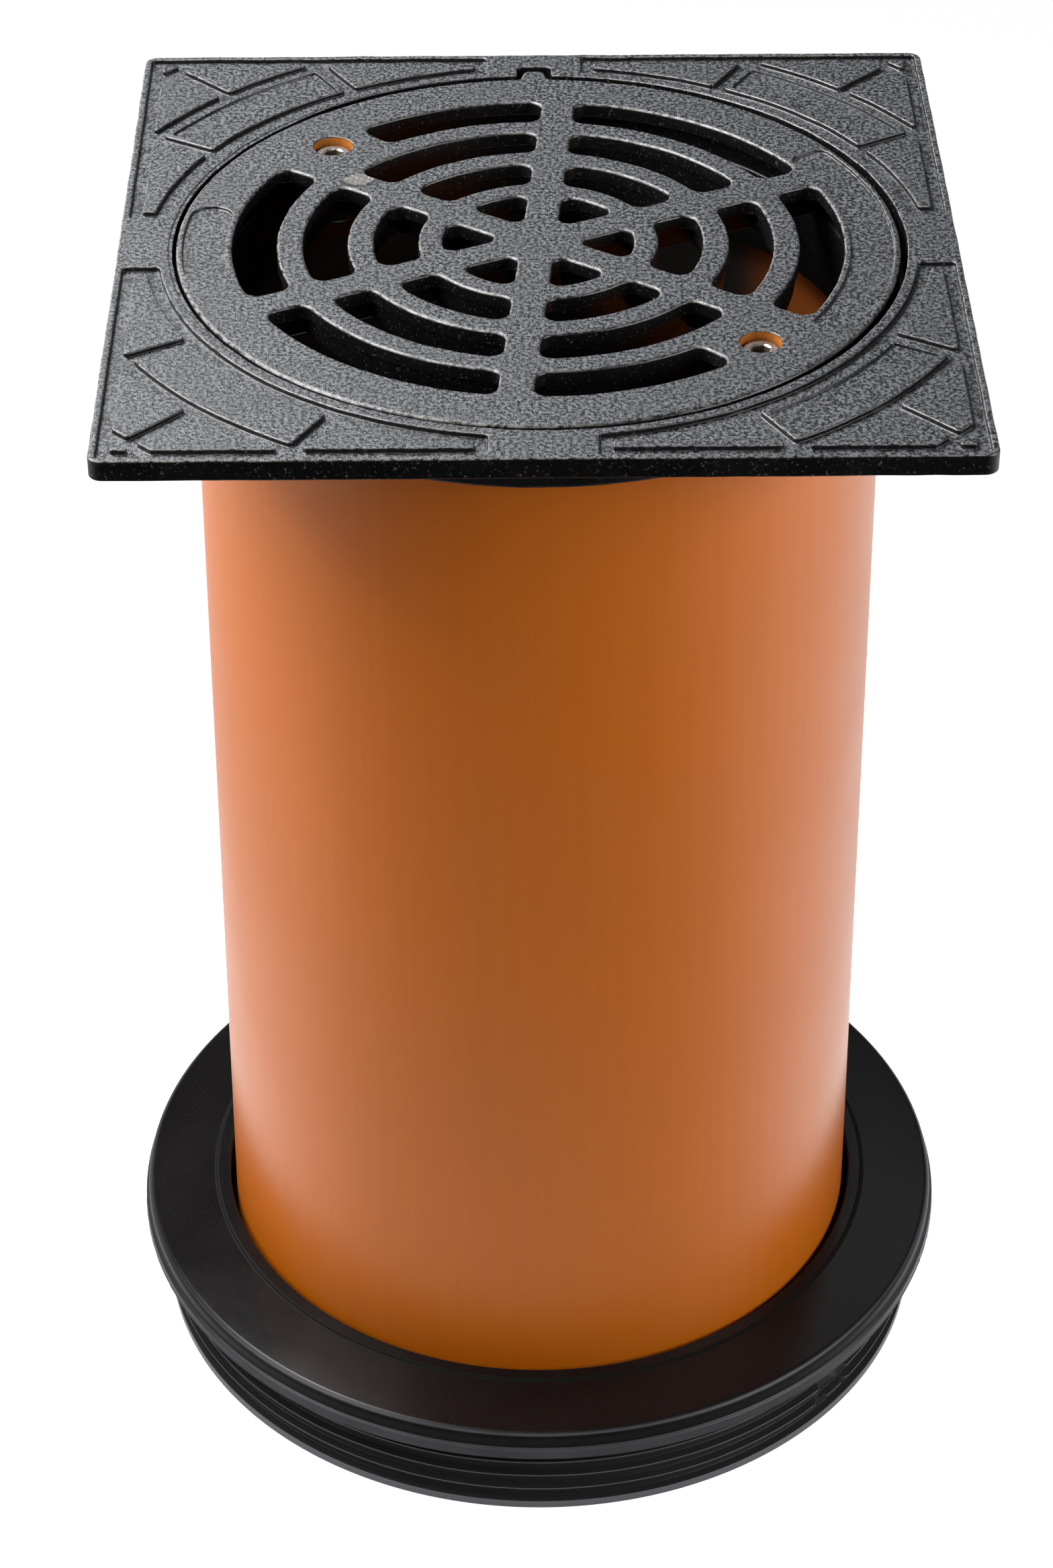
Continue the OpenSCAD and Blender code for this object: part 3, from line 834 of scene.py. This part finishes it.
def lips_side(a):
    """The ring's outer side from its foot to the flange."""
    points = [(WALL_IN, 0, 0.6), (LIP_R, 0, 0.5), (LIP_R, FOOT_BAND_H, 0.5)]
    for i in range(1, LIP_COUNT + 1):
        reach = lip_reach(i, a)
        z = FOOT_BAND_H + i * LIP_PITCH + LIP_WAVE * wobble(a, 0.08, i * 7)
        below = FOOT_BAND_H + (i - 1) * LIP_PITCH + LIP_RISE
        points += [(WALL_R, below, 0.5), (WALL_R, z - LIP_EDGE - LIP_FALL, 0.8),
                   (reach, z - LIP_EDGE, 0.25), (reach, z, 0.25)]
    last = FOOT_BAND_H + LIP_COUNT * LIP_PITCH
    return points + [(WALL_R, last + LIP_RISE, 0.5), (WALL_R, FLANGE_Z, 1.2)]


def flange_side(a):
    """The flange's rim, ragged along its lower edge, its shoulder and its top with the collar."""
    jag = COARSE_JAG * wobble(a, 0.9, 0) + FINE_JAG * wobble(a, 3.7, 5)
    wave = RIM_WAVE * wobble(a, 0.12, 9)
    groove = FLANGE_R - RIM_GROOVE
    shoulder_in = groove - SHOULDER_R
    points = [(FLANGE_R - 1.2, FLANGE_Z + 0.2, 0.2),
              (FLANGE_R - 0.15 + jag * 0.4, FLANGE_Z - 0.35 + jag * 0.5, 0.1),
              (FLANGE_R - 0.45, FLANGE_Z + 0.6, 0.2),
              (FLANGE_R - 0.3 + wave * 0.2, RIM_BAND_TOP - 0.6, 0.8), (groove, RIM_BAND_TOP + 0.6, 0.7)]
    for k in range(7):
        x, y = polar(SHOULDER_R, SHOULDER_TURN * k / 6)
        points.append((shoulder_in + x, SHOULDER_Z + y))
    step_z = CROWN_Z - COLLAR_STEP
    points += [((COLLAR_R + groove - SHOULDER_R) / 2, step_z - CROWN_SAG), (COLLAR_R + 0.4, step_z, 0.3),
               (COLLAR_R, CROWN_Z, 0.3), (FLANGE_BORE, CROWN_Z, 1.0)]
    return points


def bore_side():
    """The bore with its two inner lips, and the inside of the skirt."""
    upper, lower = FLANGE_Z - INNER_LIP_SETBACK, SKIRT_Z + INNER_LIP_SETBACK
    upper_low = upper - INNER_LIP_EDGE
    return [(FLANGE_BORE, FLANGE_Z), (LIP_BORE, upper, 0.4), (LIP_BORE, upper_low, 0.4),
            (FLANGE_BORE, upper_low, 0.4), (FLANGE_BORE, lower + INNER_LIP_SETBACK, 0.5),
            (LIP_BORE, lower, 0.4), (LIP_BORE, SKIRT_Z, 0.4), (SKIRT_R, SKIRT_Z, 0.8),
            (SKIRT_R, FLANGE_Z, 1.5), (WALL_IN, FLANGE_Z, 1.5)]


def rounded_fixed(points):
    """As rounded(), with the same number of points whatever the corner's angle."""
    out = []
    n = len(points)
    for i, p in enumerate(points):
        if len(p) == 2:
            out.append(p)
            continue
        q, s = Vector(points[i - 1][:2]), Vector(points[(i + 1) % n][:2])
        c = Vector(p[:2])
        reach = min(p[2], (q - c).length * 0.45, (s - c).length * 0.45)
        a = c + (q - c).normalized() * reach
        b = c + (s - c).normalized() * reach
        for k in range(4):
            t = k / 3
            m = a * (1 - t) ** 2 + c * 2 * t * (1 - t) + b * t * t
            out.append((m.x, m.y))
    return out


def make_seal():
    s = Shell()
    s.revolve(lambda a: rounded_fixed(lips_side(a) + flange_side(a) + bore_side()), RING_SIDES)
    return s.finish("sealing_ring", smooth=50)


# Screws


def make_screw(name, angle):
    s = Shell()
    cx, cy = polar(SCREW_R, angle)
    head_r, shank_r = HEAD_D / 2, SCREW_D / 2

    def around(radius_at):
        flat = (polar(radius_at(k), 360 * k / SCREW_SIDES) for k in range(SCREW_SIDES))
        return [(cx + x, cy + y) for x, y in flat]

    def level(r, z):
        return s.ring(around(lambda k: r), z)

    rings = [level(head_r - HEAD_ARRIS, HEAD_TOP)]
    for k in range(1, 4):
        x, y = polar(HEAD_ARRIS, 90 - 30 * k)
        rings.append(level(head_r - HEAD_ARRIS + x, HEAD_TOP - HEAD_ARRIS + y))
    # Fine knurl on the head's side
    knurl = around(lambda k: head_r - (KNURL_DEPTH if k % 2 else 0))
    rings += [s.ring(knurl, HEAD_TOP - KNURL_TOP), s.ring(knurl, HEAD_SEAT + KNURL_FOOT)]
    rings += [level(head_r - HEAD_CHAMFER, HEAD_SEAT), level(shank_r, HEAD_SEAT)]
    # Thread, drawn as closed grooves on the shank
    end = HEAD_SEAT - SHANK_LEN
    z = HEAD_SEAT - THREAD_FROM
    while z > end + THREAD_END:
        rings += [level(shank_r, z), level(shank_r - THREAD_DEPTH, z - THREAD_PITCH / 2)]
        z -= THREAD_PITCH
    rings += [level(shank_r, z), level(shank_r - SHANK_CHAMFER, end)]
    s.bands(rings)
    s.cap(rings[-1])

    def hexagon(r, z):
        points = []
        for k in range(6):
            p, q = polar(r, 60 * k + HEX_TURN), polar(r, 60 * k + 60 + HEX_TURN)
            points += [between(p, q, t / 8) for t in range(8)]
        return s.ring([(cx + x, cy + y) for x, y in points], z)

    hex_r = HEX_AF / math.sqrt(3)
    floor = HEAD_TOP - HEX_DEPTH
    socket = [level(hex_r + HEX_MOUTH, HEAD_TOP), hexagon(hex_r, HEAD_TOP - HEX_MOUTH_DEPTH),
              hexagon(hex_r, floor), hexagon(hex_r * HEX_TIP, floor - HEX_TIP_DEPTH)]
    s.bands(socket)
    s.cap(socket[-1])
    s.band(rings[0], socket[0])
    return s.finish(name, smooth=28)


# Materials. Colours are linear; a pair is the darkest and the lightest shade.

COAT_BLACK = ((0.0025, 0.0025, 0.0028), (0.006, 0.006, 0.0063))
COAT_GRIT = (0.085, 0.084, 0.086)
COAT_GRAIN_AND_SHEEN = ((0.001, 0.001, 0.0015), (0.100, 0.104, 0.115))
# Grain of the coating on upper faces, its pale end partly painted sheen
COAT_BLOTCH = (0.022, 0.022, 0.024)
# Bare iron on rubbed edges, also a painted highlight
RUBBED_IRON_AND_HIGHLIGHT = (0.25, 0.245, 0.235)
RUST_SPECK = (0.16, 0.075, 0.03)
FLASH_RUST = ((0.25, 0.070, 0.0005), (0.40, 0.125, 0.0015))
FLAKE = ((0.088, 0.087, 0.084), (0.26, 0.255, 0.245))
CHIP_EDGE_DARK = (0.002, 0.002, 0.002)
PIPE_ORANGE = ((0.555, 0.126, 0.002), (0.575, 0.135, 0.003))
PIPE_CLOUD = (0.50, 0.122, 0.008)
PIPE_DUST = (0.60, 0.20, 0.04)
# Painted shade of the bore, and its painted patch of light on the right
PIPE_BORE_SHADE_AND_LIGHT = ((0.004, 0.0015, 0.0006), (0.36, 0.080, 0.002))
RUBBER_BLACK = ((0.003, 0.0028, 0.003), (0.007, 0.0065, 0.007))
RUBBER_DUST = (0.05, 0.047, 0.046)
# Painted sheen on the rubber's outer sides, and painted highlights on the lips' edges
RUBBER_SHEEN = ((0.040, 0.039, 0.043), (0.056, 0.055, 0.060))
LIP_EDGE_HIGHLIGHT = (0.10, 0.097, 0.100)
LIP_PAINTED_LIGHT = (0.030, 0.029, 0.030)
# Painted light from the white floor on the foot band
FOOT_FLOOR_LIGHT = (0.17, 0.167, 0.185)
COLLAR_BLACK = (0.001, 0.001, 0.001)
STEEL = ((0.46, 0.45, 0.43), (0.62, 0.61, 0.59))
SOCKET_GRIME = (0.060, 0.042, 0.022)
BACKDROP_GREY = (0.8, 0.8, 0.8)
FILL_TINT = (0.95, 0.97, 1.0)


class Nodes:
    """Helper round the node tree of a material or a world."""

    def __init__(self, owner, coordinates="Object"):
        owner.use_nodes = True
        self.tree = owner.node_tree
        self.tree.nodes.clear()
        self.place = self.node("ShaderNodeTexCoord").outputs[coordinates]

    def node(self, kind, **settings):
        n = self.tree.nodes.new(kind)
        for k, v in settings.items():
            setattr(n, k, v)
        return n

    def link(self, a, b):
        self.tree.links.new(a, b)

    def feed(self, socket, value):
        """Links a socket or sets its value; a colour is given without its alpha."""
        if isinstance(value, bpy.types.NodeSocket):
            self.link(value, socket)
        else:
            socket.default_value = (*value, 1) if isinstance(value, tuple) else value

    def math(self, op, a, b=0.0):
        n = self.node("ShaderNodeMath", operation=op)
        self.feed(n.inputs[0], a)
        self.feed(n.inputs[1], b)
        return n.outputs[0]

    def times(self, a, *others):
        for b in others:
            a = self.math("MULTIPLY", a, b)
        return a

    def plus(self, a, b):
        return self.math("ADD", a, b)

    def minus(self, a, b):
        return self.math("SUBTRACT", a, b)

    def most(self, a, *others):
        for b in others:
            a = self.math("MAXIMUM", a, b)
        return a

    def range(self, value, low, high, to_low=0.0, to_high=1.0, smooth=True):
        n = self.node("ShaderNodeMapRange", interpolation_type="SMOOTHSTEP" if smooth else "LINEAR")
        self.feed(n.inputs["Value"], value)
        for key, v in (("From Min", low), ("From Max", high), ("To Min", to_low), ("To Max", to_high)):
            n.inputs[key].default_value = v
        return n.outputs["Result"]

    def height(self, low, high, to_low=0.0, to_high=1.0):
        """Fades over heights given in millimetres."""
        return self.range(self.xyz(self.place)[2], low * MM, high * MM, to_low, to_high)

    def xyz(self, vector):
        n = self.node("ShaderNodeSeparateXYZ")
        self.link(vector, n.inputs[0])
        return n.outputs

    def from_point(self, x, y, squash=1.0, turn=0.0):
        """Distance in the plan from a point in millimetres, along x stretched by squash."""
        p = self.xyz(self.place)
        dx = self.minus(p[0], x * MM)
        dy = self.minus(p[1], y * MM)
        c, s = math.cos(math.radians(turn)), math.sin(math.radians(turn))
        u = self.plus(self.times(dx, c / squash), self.times(dy, s / squash))
        v = self.minus(self.times(dy, c), self.times(dx, s))
        return self.math("SQRT", self.plus(self.times(u, u), self.times(v, v)))

    def shader(self, kind, color, strength=None):
        n = self.node(kind)
        self.feed(n.inputs["Color"], color)
        if strength is not None:
            self.feed(n.inputs["Strength"], strength)
        return n.outputs[0]

    def add(self, a, b):
        n = self.node("ShaderNodeAddShader")
        self.link(a, n.inputs[0])
        self.link(b, n.inputs[1])
        return n.outputs[0]

    def either(self, choice, a, b):
        """Shader a where the choice is 0, and b where it is 1."""
        n = self.node("ShaderNodeMixShader")
        for socket, v in zip(n.inputs, (choice, a, b)):
            self.link(v, socket)
        return n.outputs[0]


class Material(Nodes):
    """A material with one principled shader."""

    def __init__(self, name):
        self.mat = bpy.data.materials.new(name)
        super().__init__(self.mat)
        self.bsdf = self.node("ShaderNodeBsdfPrincipled")
        self.link(self.bsdf.outputs[0], self.node("ShaderNodeOutputMaterial").inputs[0])

    def set(self, **values):
        """Sets the shader's inputs; an underscore stands for a space in their names."""
        for name, value in values.items():
            self.feed(self.bsdf.inputs[name.replace("_", " ")], value)

    def mix(self, factor, a, b):
        n = self.node("ShaderNodeMix", data_type="RGBA")
        self.feed(n.inputs["Factor"], factor)
        self.feed(n.inputs[6], a)
        self.feed(n.inputs[7], b)
        return n.outputs[2]

    def noise(self, scale, detail=2.0, rough=0.5, stretch=None):
        n = self.node("ShaderNodeTexNoise")
        place = self.place
        if stretch:
            mapping = self.node("ShaderNodeMapping")
            self.link(place, mapping.inputs["Vector"])
            mapping.inputs["Scale"].default_value = stretch
            place = mapping.outputs["Vector"]
        self.link(place, n.inputs["Vector"])
        n.inputs["Scale"].default_value = scale
        n.inputs["Detail"].default_value = detail
        n.inputs["Roughness"].default_value = rough
        return n.outputs["Fac"]

    def normal(self):
        """Surface direction in the object's own axes."""
        n = self.node("ShaderNodeVectorTransform", vector_type="NORMAL",
                      convert_from="WORLD", convert_to="OBJECT")
        self.link(self.node("ShaderNodeNewGeometry").outputs["Normal"], n.inputs[0])
        return self.xyz(n.outputs[0])

    def near_screws(self, inner, outer):
        """1 within inner of a screw's axis, 0 beyond outer, in millimetres."""
        away = [self.from_point(*polar(SCREW_R, a)) for a in SCREW_ANGLES]
        return self.most(*[self.range(d, outer * MM, inner * MM) for d in away])

    def bump(self, height, distance, strength, after=None):
        n = self.node("ShaderNodeBump")
        self.link(height, n.inputs["Height"])
        n.inputs["Distance"].default_value = distance
        n.inputs["Strength"].default_value = strength
        if after is not None:
            self.link(after, n.inputs["Normal"])
        return n.outputs[0]


def flash_rust(m, shade, rough):
    """Orange rust on the walls of the screw holes."""
    walls = m.times(m.near_screws(BORE_R + 0.15, BORE_R + 0.55), m.height(TOP - 0.35, TOP - 0.9))
    shade = m.mix(walls, shade, m.mix(m.noise(700, 3.0, 0.6), *FLASH_RUST))
    return shade, m.most(rough, m.times(walls, 0.8))


def flaked_chip(m, up, shade, height):
    """Pale patch where the coating has flaked off, with a dark line along its lower side."""
    ragged = m.times(m.minus(m.noise(420, 3.0, 0.7), 0.5), 7 * MM)
    away = m.plus(m.from_point(*CHIP_AT, squash=1.35, turn=20), ragged)
    chip = m.times(m.range(away, 6.1 * MM, 5.2 * MM), m.range(up, 0.6, 0.9))
    flake = m.mix(m.range(m.noise(520, 2.0, 0.6), 0.56, 0.66), *FLAKE)
    lower_edge_line = m.times(m.range(away, 5.6 * MM, 6.2 * MM), m.range(away, 7.4 * MM, 6.6 * MM))
    lower_side = m.range(m.xyz(m.place)[1], (CHIP_AT[1] + 1.0) * MM, (CHIP_AT[1] - 2.0) * MM)
    shade = m.mix(m.times(lower_edge_line, lower_side), m.mix(chip, shade, flake), CHIP_EDGE_DARK)
    height = m.times(height, m.minus(1.0, m.times(chip, 0.5)))
    return shade, m.minus(height, m.times(chip, 0.35))


def cast_iron(name, grate):
    m = Material(name)
    facing = m.normal()
    up = facing[2]
    blotch = m.noise(38, 3.0, 0.55)
    height = m.plus(m.times(m.noise(560, 2.0, 0.6), 0.7), m.times(m.noise(1900, 1.0, 0.5), 0.3))
    speck = m.range(height, 0.46, 0.56, smooth=False)
    # Black coating, with cast grit on the upright faces
    grit = m.times(m.range(m.noise(640, 3.0, 0.7), 0.60, 0.70), m.range(up, 0.55, 0.25),
                   m.height(TOP - 30, TOP - 8, 0.3, 1.0))
    black = m.mix(grit, m.mix(blotch, *COAT_BLACK), COAT_GRIT)
    # Dry, grainy upper faces; their pale specks are partly real grain and partly painted sheen of the light
    # on the tops
    upper = m.times(m.range(up, 0.72, 0.97), m.height(TOP - 6, TOP - 3))
    grain_and_sheen = m.mix(m.range(blotch, 0.35, 0.7, 0.0, 0.3), m.mix(speck, *COAT_GRAIN_AND_SHEEN), COAT_BLOTCH)
    shade = m.mix(upper, black, grain_and_sheen)
    # Upper edges rubbed through the coating, with a painted highlight: they are pale mostly where they face
    # the left, towards the lamps
    edge = m.times(m.range(up, 0.30, 0.58), m.range(up, 0.96, 0.82),
                   m.range(facing[0], 0.25, -0.2, 0.35, 1.0))
    rubbed_and_highlight = m.times(edge, m.height(TOP - 3.2, TOP - 1.0), m.range(m.noise(300, 3.0, 0.6), 0.36, 0.60))
    shade = m.mix(m.times(rubbed_and_highlight, 0.75), shade, RUBBED_IRON_AND_HIGHLIGHT)
    specks = m.range(m.noise(260, 4.0, 0.7), 0.705, 0.75)
    shade = m.mix(m.times(specks, 0.8), shade, RUST_SPECK)
    rough = m.times(upper, m.range(speck, 0.0, 1.0, 0.10, 0.22))
    rough = m.plus(m.range(blotch, 0.3, 0.7, 0.26, 0.34), rough)
    if grate:
        shade, rough = flash_rust(m, shade, rough)
        shade, height = flaked_chip(m, up, shade, height)
    lumps = m.bump(m.noise(150, 2.0, 0.6), 0.5 * MM, 0.35)
    relief = m.times(height, m.plus(0.18, m.times(upper, 0.82)))
    m.set(Base_Color=shade, Roughness=rough, Specular_IOR_Level=0.5,
          Normal=m.bump(relief, 0.7 * MM, 1.0, after=lumps))
    return m.mat


def pipe_plastic():
    m = Material("orange_plastic")
    streaks = m.noise(1.0, 4.0, 0.6, stretch=(260, 260, 2.2))
    cloud = m.noise(9)
    shade = m.mix(m.range(streaks, 0.3, 0.7), *PIPE_ORANGE)
    shade = m.mix(m.range(cloud, 0.35, 0.65, 0.0, 0.25), shade, PIPE_CLOUD)
    shade = m.mix(m.range(m.noise(900), 0.68, 0.76, 0.0, 0.15), shade, PIPE_DUST)
    # The bore is dull and painted dark as shade, with a painted patch of light on its right side
    inside = m.range(m.from_point(0, 0), (PIPE_BORE_R + 1.5) * MM, (PIPE_BORE_R + 0.5) * MM)
    bore_shade_and_light = m.mix(m.range(m.xyz(m.place)[0], 95 * MM, 130 * MM), *PIPE_BORE_SHADE_AND_LIGHT)
    scratch = m.bump(streaks, 0.04 * MM, 0.2)
    m.set(Base_Color=m.mix(inside, shade, bore_shade_and_light),
          Roughness=m.plus(m.range(cloud, 0.3, 0.7, 0.32, 0.40), m.times(inside, 0.3)),
          Coat_Weight=m.times(m.minus(1.0, inside), 0.35), Coat_Roughness=0.28,
          Normal=m.bump(m.noise(14, 1.0), 0.9 * MM, 0.25, after=scratch))
    return m.mat


def ring_rubber():
    m = Material("black_rubber")
    up = m.normal()[2]
    cloud = m.noise(30, 4.0, 0.6)
    grain = m.noise(1600, 2.0, 0.6)
    out = m.from_point(0, 0)
    lips = (FLANGE_Z - 0.6, FLANGE_Z - 1.4)
    shade = m.mix(m.times(m.range(grain, 0.62, 0.72), 0.25), m.mix(cloud, *RUBBER_BLACK), RUBBER_DUST)
    # Painted light: the lips below the flange are a lighter grey than the rest of the rubber
    shade = m.mix(m.height(*lips, 0.0, 0.7), shade, LIP_PAINTED_LIGHT)
    # Painted sheen on the rim band, and painted highlights along the shoulder's middle and the lips'
    # edges, less at the far left where less light falls; the wall below the shoulder gets none
    painted_sheen = m.mix(m.height(*lips), m.mix(m.range(cloud, 0.3, 0.7), *RUBBER_SHEEN), LIP_EDGE_HIGHLIGHT)
    side = m.times(m.range(up, 0.93, 0.70), m.range(out, (WALL_R + 1.5) * MM, (LIP_R - 0.6) * MM),
                   m.range(m.xyz(m.place)[0], -190 * MM, -100 * MM, 0.2, 1.0))
    no_sheen = m.times(m.height(RIM_BAND_TOP - 0.5, RIM_BAND_TOP + 0.2), m.range(up, 0.72, 0.52))
    shade = m.mix(m.times(side, m.minus(1.0, no_sheen)), shade, painted_sheen)
    # The foot band is painted pale as light thrown up from the white floor
    floor_lit_foot = m.times(m.height(FOOT_BAND_H + 0.7, FOOT_BAND_H - 0.1), m.range(up, 0.75, 0.5), 0.7)
    shade = m.mix(floor_lit_foot, shade, FOOT_FLOOR_LIGHT)
    # Soft, black edge of the collar
    collar = m.math("ABSOLUTE", m.minus(out, (COLLAR_R + 0.15) * MM))
    collar = m.times(m.range(collar, 1.3 * MM, 0.7 * MM), m.height(CROWN_Z - 4, CROWN_Z - 2))
    flat_top = m.times(m.range(up, 0.93, 0.99), m.height(CROWN_Z - 10, CROWN_Z - 5))
    rough = m.minus(m.range(cloud, 0.3, 0.7, 0.34, 0.38), m.times(flat_top, 0.17))
    m.set(Base_Color=m.mix(collar, shade, COLLAR_BLACK), Roughness=m.plus(rough, m.times(collar, 0.5)),
          Specular_IOR_Level=0.18, Normal=m.bump(grain, 0.04 * MM, 0.5))
    return m.mat


def screw_steel():
    m = Material("stainless_steel")
    turn_marks = m.noise(2600)
    # Brown grime in the socket
    hex_r = HEX_AF / 2
    dirt = m.times(m.height(HEAD_TOP - 0.5, HEAD_TOP - 1.2), m.near_screws(hex_r + 0.8, hex_r + 1.2))
    m.set(Base_Color=m.mix(dirt, m.mix(turn_marks, *STEEL), SOCKET_GRIME), Metallic=m.minus(1.0, dirt),
          Roughness=m.plus(m.range(turn_marks, 0.3, 0.7, 0.24, 0.40), m.times(dirt, 0.4)),
          Normal=m.bump(turn_marks, 0.1 * MM, 0.4))
    return m.mat


# Pieces


def install(obj, node, body, material):
    obj.data.materials.append(material)
    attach(obj, body)
    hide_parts(node)


frame_iron = cast_iron("frame_cast_iron", grate=False)
grate_iron = cast_iron("grate_cast_iron", grate=True)
steel = screw_steel()
install(make_frame(), "frame", "inlet", frame_iron)
install(make_grate(), "grate", "inlet", grate_iron)
install(make_pipe(), "pipe", "inlet", pipe_plastic())
install(make_seal(), "seal", "ring", ring_rubber())
for node, angle in zip(("screw_rear_left", "screw_front_right"), SCREW_ANGLES):
    install(make_screw("cap_" + node, angle), node, "inlet", steel)


# Stage, light and camera. Their places and sizes are in metres.

FLOOR_HALF = 30
FLOOR_DROP = 0.0005
FILL_STRENGTH = 0.08
FLOOR_WHITE = 0.92

# Each lamp's name, place, target, width, height and power
LAMPS = (
    ("back", (-0.64, 0.50, 1.68), (-0.05, 0, 0.6), 0.8, 0.6, 38),
    ("high_left", (-0.80, -0.20, 1.40), (-0.05, 0, 0.6), 0.7, 0.7, 13),
    ("left", (-1.44, -0.41, 1.05), (0, 0, 0.35), 1.2, 1.2, 15),
    ("right", (1.34, -0.74, 0.88), (0, 0, 0.28), 1.1, 0.85, 22),
)

# The camera was fitted to the photograph; these three are in its pixels
FOCAL_PX = 6252.0
CENTRE_Y_PX = 750.0
PHOTO_HEIGHT_PX = 2334.0
CAMERA_AT = (-20.85, -1675.2, 1509.2)
PITCH, YAW, ROLL = 32.09, 0.52, -0.15
SENSOR = 36


def make_floor():
    bm = bmesh.new()
    bmesh.ops.create_grid(bm, x_segments=1, y_segments=1, size=FLOOR_HALF)
    mesh = bpy.data.meshes.new("floor")
    bm.to_mesh(mesh)
    bm.free()
    obj = bpy.data.objects.new("floor", mesh)
    obj.location = (0, 0, -FLOOR_DROP)
    bpy.context.scene.collection.objects.link(obj)
    mat = bpy.data.materials.new("white_floor")
    m = Nodes(mat)
    away = m.from_point(0, 0)
    x, y, _ = m.xyz(m.place)
    across, behind = (m.math("DIVIDE", v, m.most(away, 0.05)) for v in (x, y))
    # The floor is pale near the object, and painted dark as shade inside the pipe's foot
    pale = m.times(m.range(away, 0.25, 0.85, 0.62, 0.10), m.range(away, 0.14, 0.17, 0.05, 1.0))
    # Glossy surfaces see it bright at the sides, behind and near the object, and dark in front
    wide = m.times(m.range(behind, -1.0, 0.0, 0.0, 0.85), m.plus(0.95, m.times(across, 0.2)))
    wide = m.plus(wide, m.range(behind, 0.80, 1.0, 0.0, 0.6))
    near = m.times(m.range(away, 0.22, 0.72, 0.38, 0.0), m.minus(1.0, m.times(across, 0.41)))
    path = m.node("ShaderNodeLightPath").outputs
    white = (1, 1, 1)
    seen = m.shader("ShaderNodeEmission", white, m.times(path["Is Camera Ray"], FLOOR_WHITE))
    glow = m.shader("ShaderNodeEmission", white, m.plus(wide, near))
    plain = m.add(m.shader("ShaderNodeBsdfDiffuse", pale), seen)
    m.link(m.either(path["Is Glossy Ray"], plain, glow), m.node("ShaderNodeOutputMaterial").inputs[0])
    mesh.materials.append(mat)


def make_world():
    world = bpy.data.worlds.new("studio")
    bpy.context.scene.world = world
    m = Nodes(world, "Generated")
    x, y, z = m.xyz(m.place)
    # Glossy surfaces see a pale backdrop low down behind on the left, and higher up on the right
    low = m.times(m.range(z, 0.28, 0.42, 1.0, 0.0), m.range(x, -0.20, -0.38), m.range(y, 0.1, 0.5))
    high = m.times(m.range(z, 0.56, 0.66), m.range(z, 0.82, 0.74),
                   m.range(x, -0.03, 0.10), m.range(y, 0.3, 0.5))
    path = m.node("ShaderNodeLightPath").outputs
    pale = m.times(m.plus(low, high), path["Is Glossy Ray"])
    backdrop = m.shader("ShaderNodeBackground", BACKDROP_GREY, pale)
    fill = m.shader("ShaderNodeBackground", FILL_TINT, FILL_STRENGTH)
    white = m.shader("ShaderNodeBackground", (1, 1, 1))
    m.link(m.either(path["Is Camera Ray"], m.add(fill, backdrop), white),
           m.node("ShaderNodeOutputWorld").inputs[0])


def area_light(name, at, target, width, height, power):
    light = bpy.data.lights.new(name, "AREA")
    light.shape = "RECTANGLE"
    light.size = width
    light.size_y = height
    light.energy = power
    obj = bpy.data.objects.new(name, light)
    bpy.context.scene.collection.objects.link(obj)
    obj.location = at
    obj.rotation_euler = (Vector(target) - Vector(at)).to_track_quat("-Z", "Y").to_euler()
    obj.visible_camera = False


def make_camera():
    """Camera at the photograph's place, with a shift for the photograph's framing."""
    cam = bpy.data.cameras.new("camera")
    cam.sensor_width = SENSOR
    cam.lens = SENSOR * FOCAL_PX / PHOTO_HEIGHT_PX
    cam.shift_y = (CENTRE_Y_PX - PHOTO_HEIGHT_PX / 2) / PHOTO_HEIGHT_PX
    cam.clip_start = 0.05
    cam.clip_end = 100
    obj = bpy.data.objects.new("camera", cam)
    bpy.context.scene.collection.objects.link(obj)
    turns = ((-YAW, "Z"), (90 - PITCH, "X"), (ROLL, "Z"))
    yaw, pitch, roll = (Matrix.Rotation(math.radians(a), 4, axis) for a, axis in turns)
    obj.matrix_world = Matrix.Translation(Vector(CAMERA_AT) * MM) @ yaw @ pitch @ roll
    bpy.context.scene.camera = obj


make_floor()
make_world()
for lamp in LAMPS:
    area_light(*lamp)
make_camera()
bpy.context.scene.view_settings.view_transform = "Standard"
